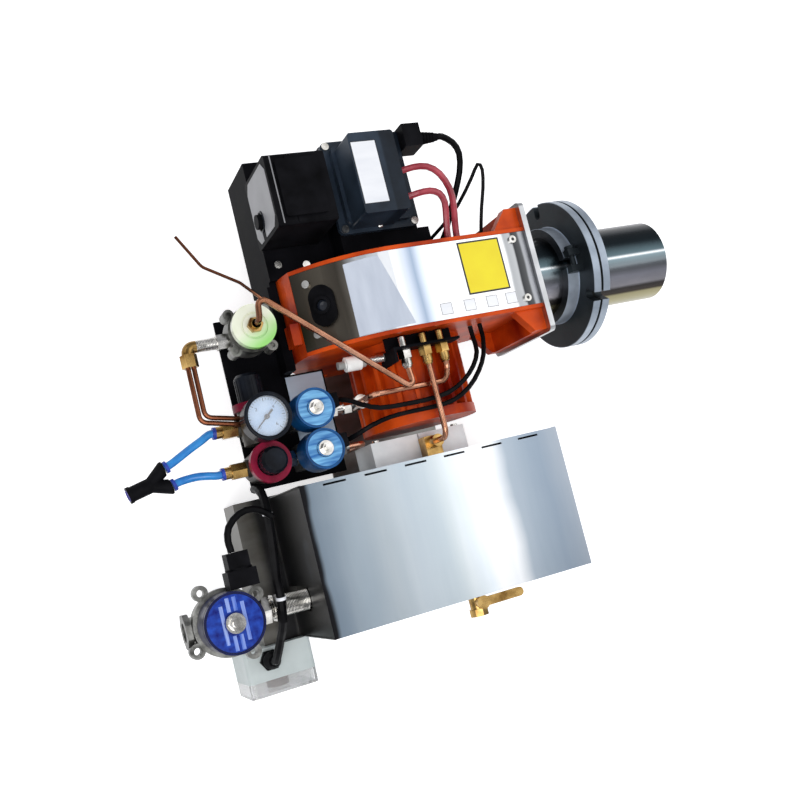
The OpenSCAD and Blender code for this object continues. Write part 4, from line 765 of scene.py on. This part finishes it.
# Sight glass in its bezel, on the slope of the cover
sight = {
    "point": (-308.0, 0.0, 34.4), "out": (-0.589, 0.0, 0.808),
    "paneLift": 2.0, "pane": [(0, 5.9), (0.9, 5.9), (1.3, 4.2), (1.4, 0.4)],
    "ringLift": 5.0, "ringRadius": 7.2, "ringThick": 0.6,
}
panePlace = np.array(sight["point"]) + np.array(sight["out"]) * sight["paneLift"]
ringPlace = np.array(sight["point"]) + np.array(sight["out"]) * sight["ringLift"]
turned("sightPane", panePlace, sight["out"], sight["pane"], "sightGlass", sides=40)
ringBand("sightRing", ringPlace, sight["out"], sight["ringRadius"], sight["ringThick"], "glossBlack")

# Control box: grey plate with cut corners and a round notch at the button, and the button's collar
panel = {
    "x": -345.0, "y": (80.0, 144.0), "z": (-6.0, 66.0), "thick": 0.5, "cut": 9.0, "button": (98.0, 20.0),
    "clear": 11.0, "mouth": 5.7, "turn": 2.6, "points": 15,
    "collar": [(0, 9.0), (0, 10.6), (1.2, 10.6), (1.7, 10.1), (1.7, 9.0)],
}
(y0, y1), (z0, z1), cut = panel["y"], panel["z"], panel["cut"]
buttonY, buttonZ = panel["button"]
t = np.linspace(-panel["turn"], panel["turn"], panel["points"])
notch = np.stack([buttonY + panel["clear"] * np.cos(t), buttonZ + panel["clear"] * np.sin(t)], -1)
outline = np.array([
    (y0, z0 + cut), (y0, buttonZ - panel["mouth"]), *notch, (y0, buttonZ + panel["mouth"]), (y0, z1 - cut),
    (y0 + cut, z1), (y1 - cut, z1), (y1, z1 - cut), (y1, z0 + cut), (y1 - cut, z0), (y0 + cut, z0)])
count = len(outline)
layers = [np.concatenate([np.full((count, 1), panel["x"] - d), outline], 1) for d in (0.0, panel["thick"])]
ring = np.arange(count)
after = (ring + 1) % count
sideFaces = np.stack([ring, after, after + count, ring + count], -1).tolist()
ends = [ring.tolist(), (ring + count)[::-1].tolist()]
makePiece("boxPanel", np.stack(layers), ends + sideFaces, "labelGrey", smooth=False)
turned("buttonCollar", (panel["x"], buttonY, buttonZ), (-1, 0, 0), panel["collar"], "glossBlack", hollow=True)

# Gauge: ticks and numbers on the dial, bezel and needle hub. A tick has a length and a width
gauge = {
    "centre": (-390.0, -97.0), "face": 33.0, "radius": 18.6, "start": 225.0, "sweep": 270.0, "ticks": 31,
    "smallTick": (2.0, 0.3), "largeTick": (3.4, 0.55), "largeEach": 5, "tickThick": 0.12,
    "numberEach": 10, "numberSize": 0.0046, "numberDepth": 0.00006, "numberRadius": 12.0, "numberLift": 0.06,
    "bezelZ": 40.0, "bezelRadius": 21.4, "bezelThick": 1.1, "bezelFlat": 0.7,
    "hubZ": 35.0, "hub": [(0, 2.4), (0.9, 2.4), (1.4, 1.8), (1.5, 0.6)],
}
angles = np.radians(gauge["start"] - np.linspace(0, gauge["sweep"], gauge["ticks"]))
spokes = np.stack([np.cos(angles), np.sin(angles), np.zeros(gauge["ticks"])], -1)
dialCentre = np.array([*gauge["centre"], gauge["face"]])
for i, way in enumerate(spokes):
    long, wide = gauge["smallTick" if i % gauge["largeEach"] else "largeTick"]
    across = np.array([-way[1], way[0], 0]) * wide
    corner = dialCentre + way * (gauge["radius"] - long) - across / 2
    flatPlate("dialTick%02d" % i, corner, way * long, across, gauge["tickThick"], "inkBlack")
for i in range(0, gauge["ticks"], gauge["numberEach"]):
    words = bpy.data.curves.new("dialNumber%d" % i, "FONT")
    words.body = str(i // gauge["largeEach"])
    words.size = gauge["numberSize"]
    words.align_x = "CENTER"
    words.align_y = "CENTER"
    words.extrude = gauge["numberDepth"]
    shown = bpy.data.objects.new("dialNumber%d" % i, words)
    scene.collection.objects.link(shown)
    figure = bpy.data.meshes.new_from_object(shown.evaluated_get(bpy.context.evaluated_depsgraph_get()))
    bpy.data.objects.remove(shown)
    spots = np.zeros(len(figure.vertices) * 3)
    figure.vertices.foreach_get("co", spots)
    spots = spots.reshape(-1, 3) * meshValues["perMetre"]
    place = dialCentre + spokes[i] * gauge["numberRadius"] + (0, 0, gauge["numberLift"])
    faces = [list(f.vertices) for f in figure.polygons]
    makePiece("dialFigure%d" % i, spots + place, faces, "inkBlack", smooth=False)
    bpy.data.meshes.remove(figure)
ringBand("gaugeBezel", (*gauge["centre"], gauge["bezelZ"]), up, gauge["bezelRadius"], gauge["bezelThick"],
         "glossBlack", sides=64, flat=gauge["bezelFlat"])
turned("needleHub", (*gauge["centre"], gauge["hubZ"]), up, gauge["hub"], "glossBlack", body="needle",
       sides=32)

# Coils: a label ring in each recess and a washer under each nut
airCoil = {"floor": 28.2, "label": (8.7, 17.4), "hub": 29.0, "washer": 8.1, "finish": "airLabel"}
oilCoil = {"floor": 19.2, "label": (10.2, 26.4), "hub": 20.0, "washer": 9.9, "finish": "oilLabel"}
coils = [((-339, -97), airCoil), ((-339, -138), airCoil), ((-460, -277), oilCoil)]
coilShape = {"labelThick": 0.18, "bore": 5.0, "washerEdge": 0.35, "washerThick": 0.6, "washerCut": 0.4}
for i, (centre, coil) in enumerate(coils):
    (inner, outer), thick = coil["label"], coilShape["labelThick"]
    labelRing = [(0, inner), (0, outer), (thick, outer), (thick, inner)]
    turned("coilLabel%d" % i, (*centre, coil["floor"]), up, labelRing, coil["finish"], hollow=True, sides=64)
    bore, wide = coilShape["bore"], coil["washer"]
    edge, thick = coilShape["washerEdge"], coilShape["washerThick"]
    washer = [(0, bore), (0, wide), (edge, wide), (thick, wide - coilShape["washerCut"]), (thick, bore)]
    turned("coilWasher%d" % i, (*centre, coil["hub"]), up, washer, coil["finish"], hollow=True)
# Plain pale streaks on the oil coil's label: left edge, lower and upper end, from the coil's centre
streaks = {
    "rows": [(-12, -18, 18), (8.5, -18, 18), (-5, -25, -11), (1.5, -25, -11), (-5, 11, 24), (1.5, 11, 24)],
    "centre": (-460, -277), "z": 19.38, "wide": 3.5, "thick": 0.1,
}
for i, (left, low, high) in enumerate(streaks["rows"]):
    corner = (streaks["centre"][0] + left, streaks["centre"][1] + low, streaks["z"])
    flatPlate("oilStreak%d" % i, corner, (streaks["wide"], 0, 0), (0, high - low, 0), streaks["thick"],
              "oilStreak")

# Threads on the pipe runs, each a ripple on a short sleeve: start, end and radius
threadShape = {"perMillimetre": 4, "sides": 28, "ripple": 0.03, "pitch": 1.5}
threads = {
    "airThread": [((x, y, -18), (x + 3.8, y, -18), 6.15) for x in (-371, -358) for y in (-97, -138)],
    "lineThread": [((x, y, -18), (x + 8, y, -18), 5.6) for x, y in ((-324, -97), (-304, -97), (-324, -138))],
    "oilThread": [((a, -277, -36), (b, -277, -36), 10.6) for a, b in ((-415, -410.2), (-400.8, -374))],
    "feedThread": [((-433, -12, 0), (-414, -12, 0), 6.1)],
    "rodThread": [((-276.8, -61, 27), (-256.5, -61, 27), 4.1)],
    "capThread": [((-380, -7, 35), (-380, -7, 39), 4.6)],
}
for threadName, runs in threads.items():
    finish = "lampBrass" if threadName == "capThread" else "nickelPlate"
    body = "adjuster" if threadName == "rodThread" else "burner"
    upward = (0, 1, 0) if threadName == "capThread" else up
    for i, (start, end, radius) in enumerate(runs):
        start, end = np.array(start, float), np.array(end, float)
        count = int(np.linalg.norm(end - start) * threadShape["perMillimetre"]) + 2
        steps = np.linspace(0, 1, count)[:, None]
        carried(threadName + str(i), start * (1 - steps) + end * steps, radius, finish, body,
                threadShape["sides"], upward, threadShape["ripple"], threadShape["pitch"])

# Collars where the lines enter the fitting bracket, and the release ring in the mouth of the joining piece
collars = {"y": -75.5, "z": 45, "profile": [(0, 3.1), (0, 4.6), (2.2, 4.6), (3.4, 3.6), (3.4, 3.1)]}
for i, (x, finish) in enumerate(((-240, "nickelPlate"), (-217, "lampBrass"), (-198, "lampBrass"))):
    place = (x, collars["y"], collars["z"])
    turned("fittingCollar%d" % i, place, (0, -1, 0), collars["profile"], finish, hollow=True, sides=32)
release = {
    "start": (-484, -129, -20), "out": (-0.9731, -0.2305, 0), "reach": 41.4,
    "profile": [(-2.0, 5.0), (-2.0, 6.1), (0.45, 6.1), (0.45, 5.0)],
}
mouth = np.array(release["start"]) + release["reach"] * np.array(release["out"])
turned("releaseRing", mouth, release["out"], release["profile"], "releaseViolet", hollow=True, sides=40)

# White ties round the cables: place and the cable's direction
ties = [((-401.5, -186, -4), (0.1, 1, 0.1)), ((-406, -268, -10), (0, 1, 0.25))]
tieShape = {"radius": 4.6, "thick": 0.7, "flat": 2.4, "sides": 36}
for i, (spot, way) in enumerate(ties):
    ringBand("cableTie%d" % i, spot, way, tieShape["radius"], tieShape["thick"], "tieWhite",
             sides=tieShape["sides"], flat=tieShape["flat"])

# Tank jacket: folded corners and a row of rivets along the foot of the front and the rear
jacket = {
    "left": -373, "right": -81, "front": -317, "rear": -168, "foldLow": -99.0, "foldHigh": 23.8,
    "foldInset": 0.9, "foldRadius": 1.4, "rivets": 5, "rivetInset": 14, "rivetZ": -92,
}
for i, (x, y) in enumerate([(jacket[a], jacket[b]) for a in ("left", "right") for b in ("front", "rear")]):
    inX = jacket["foldInset"] if x == jacket["left"] else -jacket["foldInset"]
    inY = jacket["foldInset"] if y == jacket["front"] else -jacket["foldInset"]
    line = [(x + inX, y + inY, z) for z in np.linspace(jacket["foldLow"], jacket["foldHigh"], 9)]
    carried("jacketFold%d" % i, line, jacket["foldRadius"], "jacketSheet", sides=12, upward=(0, 1, 0))
inset = jacket["rivetInset"]
rivetX = np.linspace(jacket["left"] + inset, jacket["right"] - inset, jacket["rivets"])
for label, y, way in (("Front", jacket["front"], -1), ("Rear", jacket["rear"], 1)):
    for i, x in enumerate(rivetX):
        place = (x, y, jacket["rivetZ"])
        turned("jacketRivet%s%d" % (label, i), place, (0, way, 0), heads["rivet"], "nickelPlate", sides=24)

# Sockets of the cover screws, lid screws of the enclosure, and the lip of the tube
sockets = {"x": -96, "y": (32, -32), "lift": 2.42}
for i, y in enumerate(sockets["y"]):
    place = (sockets["x"], y, cover["top"] + sockets["lift"])
    turned("screwSocket%d" % i, place, up, heads["socket"], "inkBlack", sides=6)
lidScrews = {"x": (-434, -374), "y": -364.3, "z": (-143.7, -89.7)}
for i, (x, z) in enumerate([(x, z) for z in lidScrews["z"] for x in lidScrews["x"]]):
    turned("lidScrew%d" % i, (x, lidScrews["y"], z), (0, -1, 0), heads["lid"], "nickelPlate", sides=24)
lip = {"x": 106.2, "radius": 43.7, "thick": 0.7}
ringBand("tubeLip", (lip["x"], 0, 0), (1, 0, 0), lip["radius"], lip["thick"], "tubeRim", sides=96)

# Lamps: place, size and power, all turned to one point
lamps = {
    "key": ((-0.9, -0.7, 1.5), 1.3, 17.0), "fill": ((0.72, 0.25, 1.5), 1.6, 9.0),
    "low": ((-1.4, 0.9, 0.6), 1.0, 2.2), "front": ((0.3, -1.6, 0.7), 1.1, 3.0),
}
lampAim = np.array([-0.2, -0.06, -0.04])
lampUpward = [0.02, 0.01, 1.0]
for lampName, (place, size, power) in lamps.items():
    lampData = bpy.data.lights.new(lampName, "AREA")
    lampData.size = size
    lampData.energy = power
    lamp = bpy.data.objects.new(lampName, lampData)
    scene.collection.objects.link(lamp)
    back = unit(np.array(place) - lampAim)
    side = unit(np.cross(lampUpward, back))
    facing = np.array([side, np.cross(back, side), back]).T
    lamp.matrix_world = Matrix.Translation(place) @ Matrix(facing.tolist()).to_4x4()

# World: soft light on the object, and white where the camera sees it
room = {"colour": (0.92, 0.94, 1.0, 1), "strength": 0.42, "seenMore": 0.58}
world = bpy.data.worlds.new("plainRoom")
scene.world = world
world.use_nodes = True
sky = world.node_tree
background = sky.nodes["Background"]
background.inputs["Color"].default_value = room["colour"]
skySeen = sky.nodes.new("ShaderNodeLightPath").outputs["Is Camera Ray"]
skyStrength = mathNode(sky, "MULTIPLY_ADD", skySeen, room["seenMore"], room["strength"])
link(sky, skyStrength, background.inputs["Strength"])

# Floor: pale paper that shines a little to the camera and in reflections
paper = {
    "row": dict(low=(0.90, 0.90, 0.90), high=(0.94, 0.94, 0.94), tone=3, grain=300, rough=(0.7, 0.8)),
    "half": 4, "z": -0.1505, "glow": (1, 1, 1, 1), "strength": 0.62, "mirrored": 0.6,
}
floorMaterial, floorTree, floorShader = principled("palePaper")
toneNode(floorTree, floorShader, paper["row"])
rays = floorTree.nodes.new("ShaderNodeLightPath").outputs
mirrored = mathNode(floorTree, "MULTIPLY", rays["Is Glossy Ray"], paper["mirrored"])
seen = mathNode(floorTree, "MAXIMUM", rays["Is Camera Ray"], mirrored)
floorShader.inputs["Emission Color"].default_value = paper["glow"]
glowing = mathNode(floorTree, "MULTIPLY", seen, paper["strength"])
link(floorTree, glowing, floorShader.inputs["Emission Strength"])
half = paper["half"]
corners = [(x * half, y * half, paper["z"]) for x, y in ((-1, -1), (1, -1), (1, 1), (-1, 1))]
floorMesh = bpy.data.meshes.new("floor")
floorMesh.from_pydata(corners, [], [(0, 1, 2, 3)])
floorMesh.materials.append(floorMaterial)
floor = bpy.data.objects.new("floor", floorMesh)
scene.collection.objects.link(floor)
print("stage: lights and floor set")
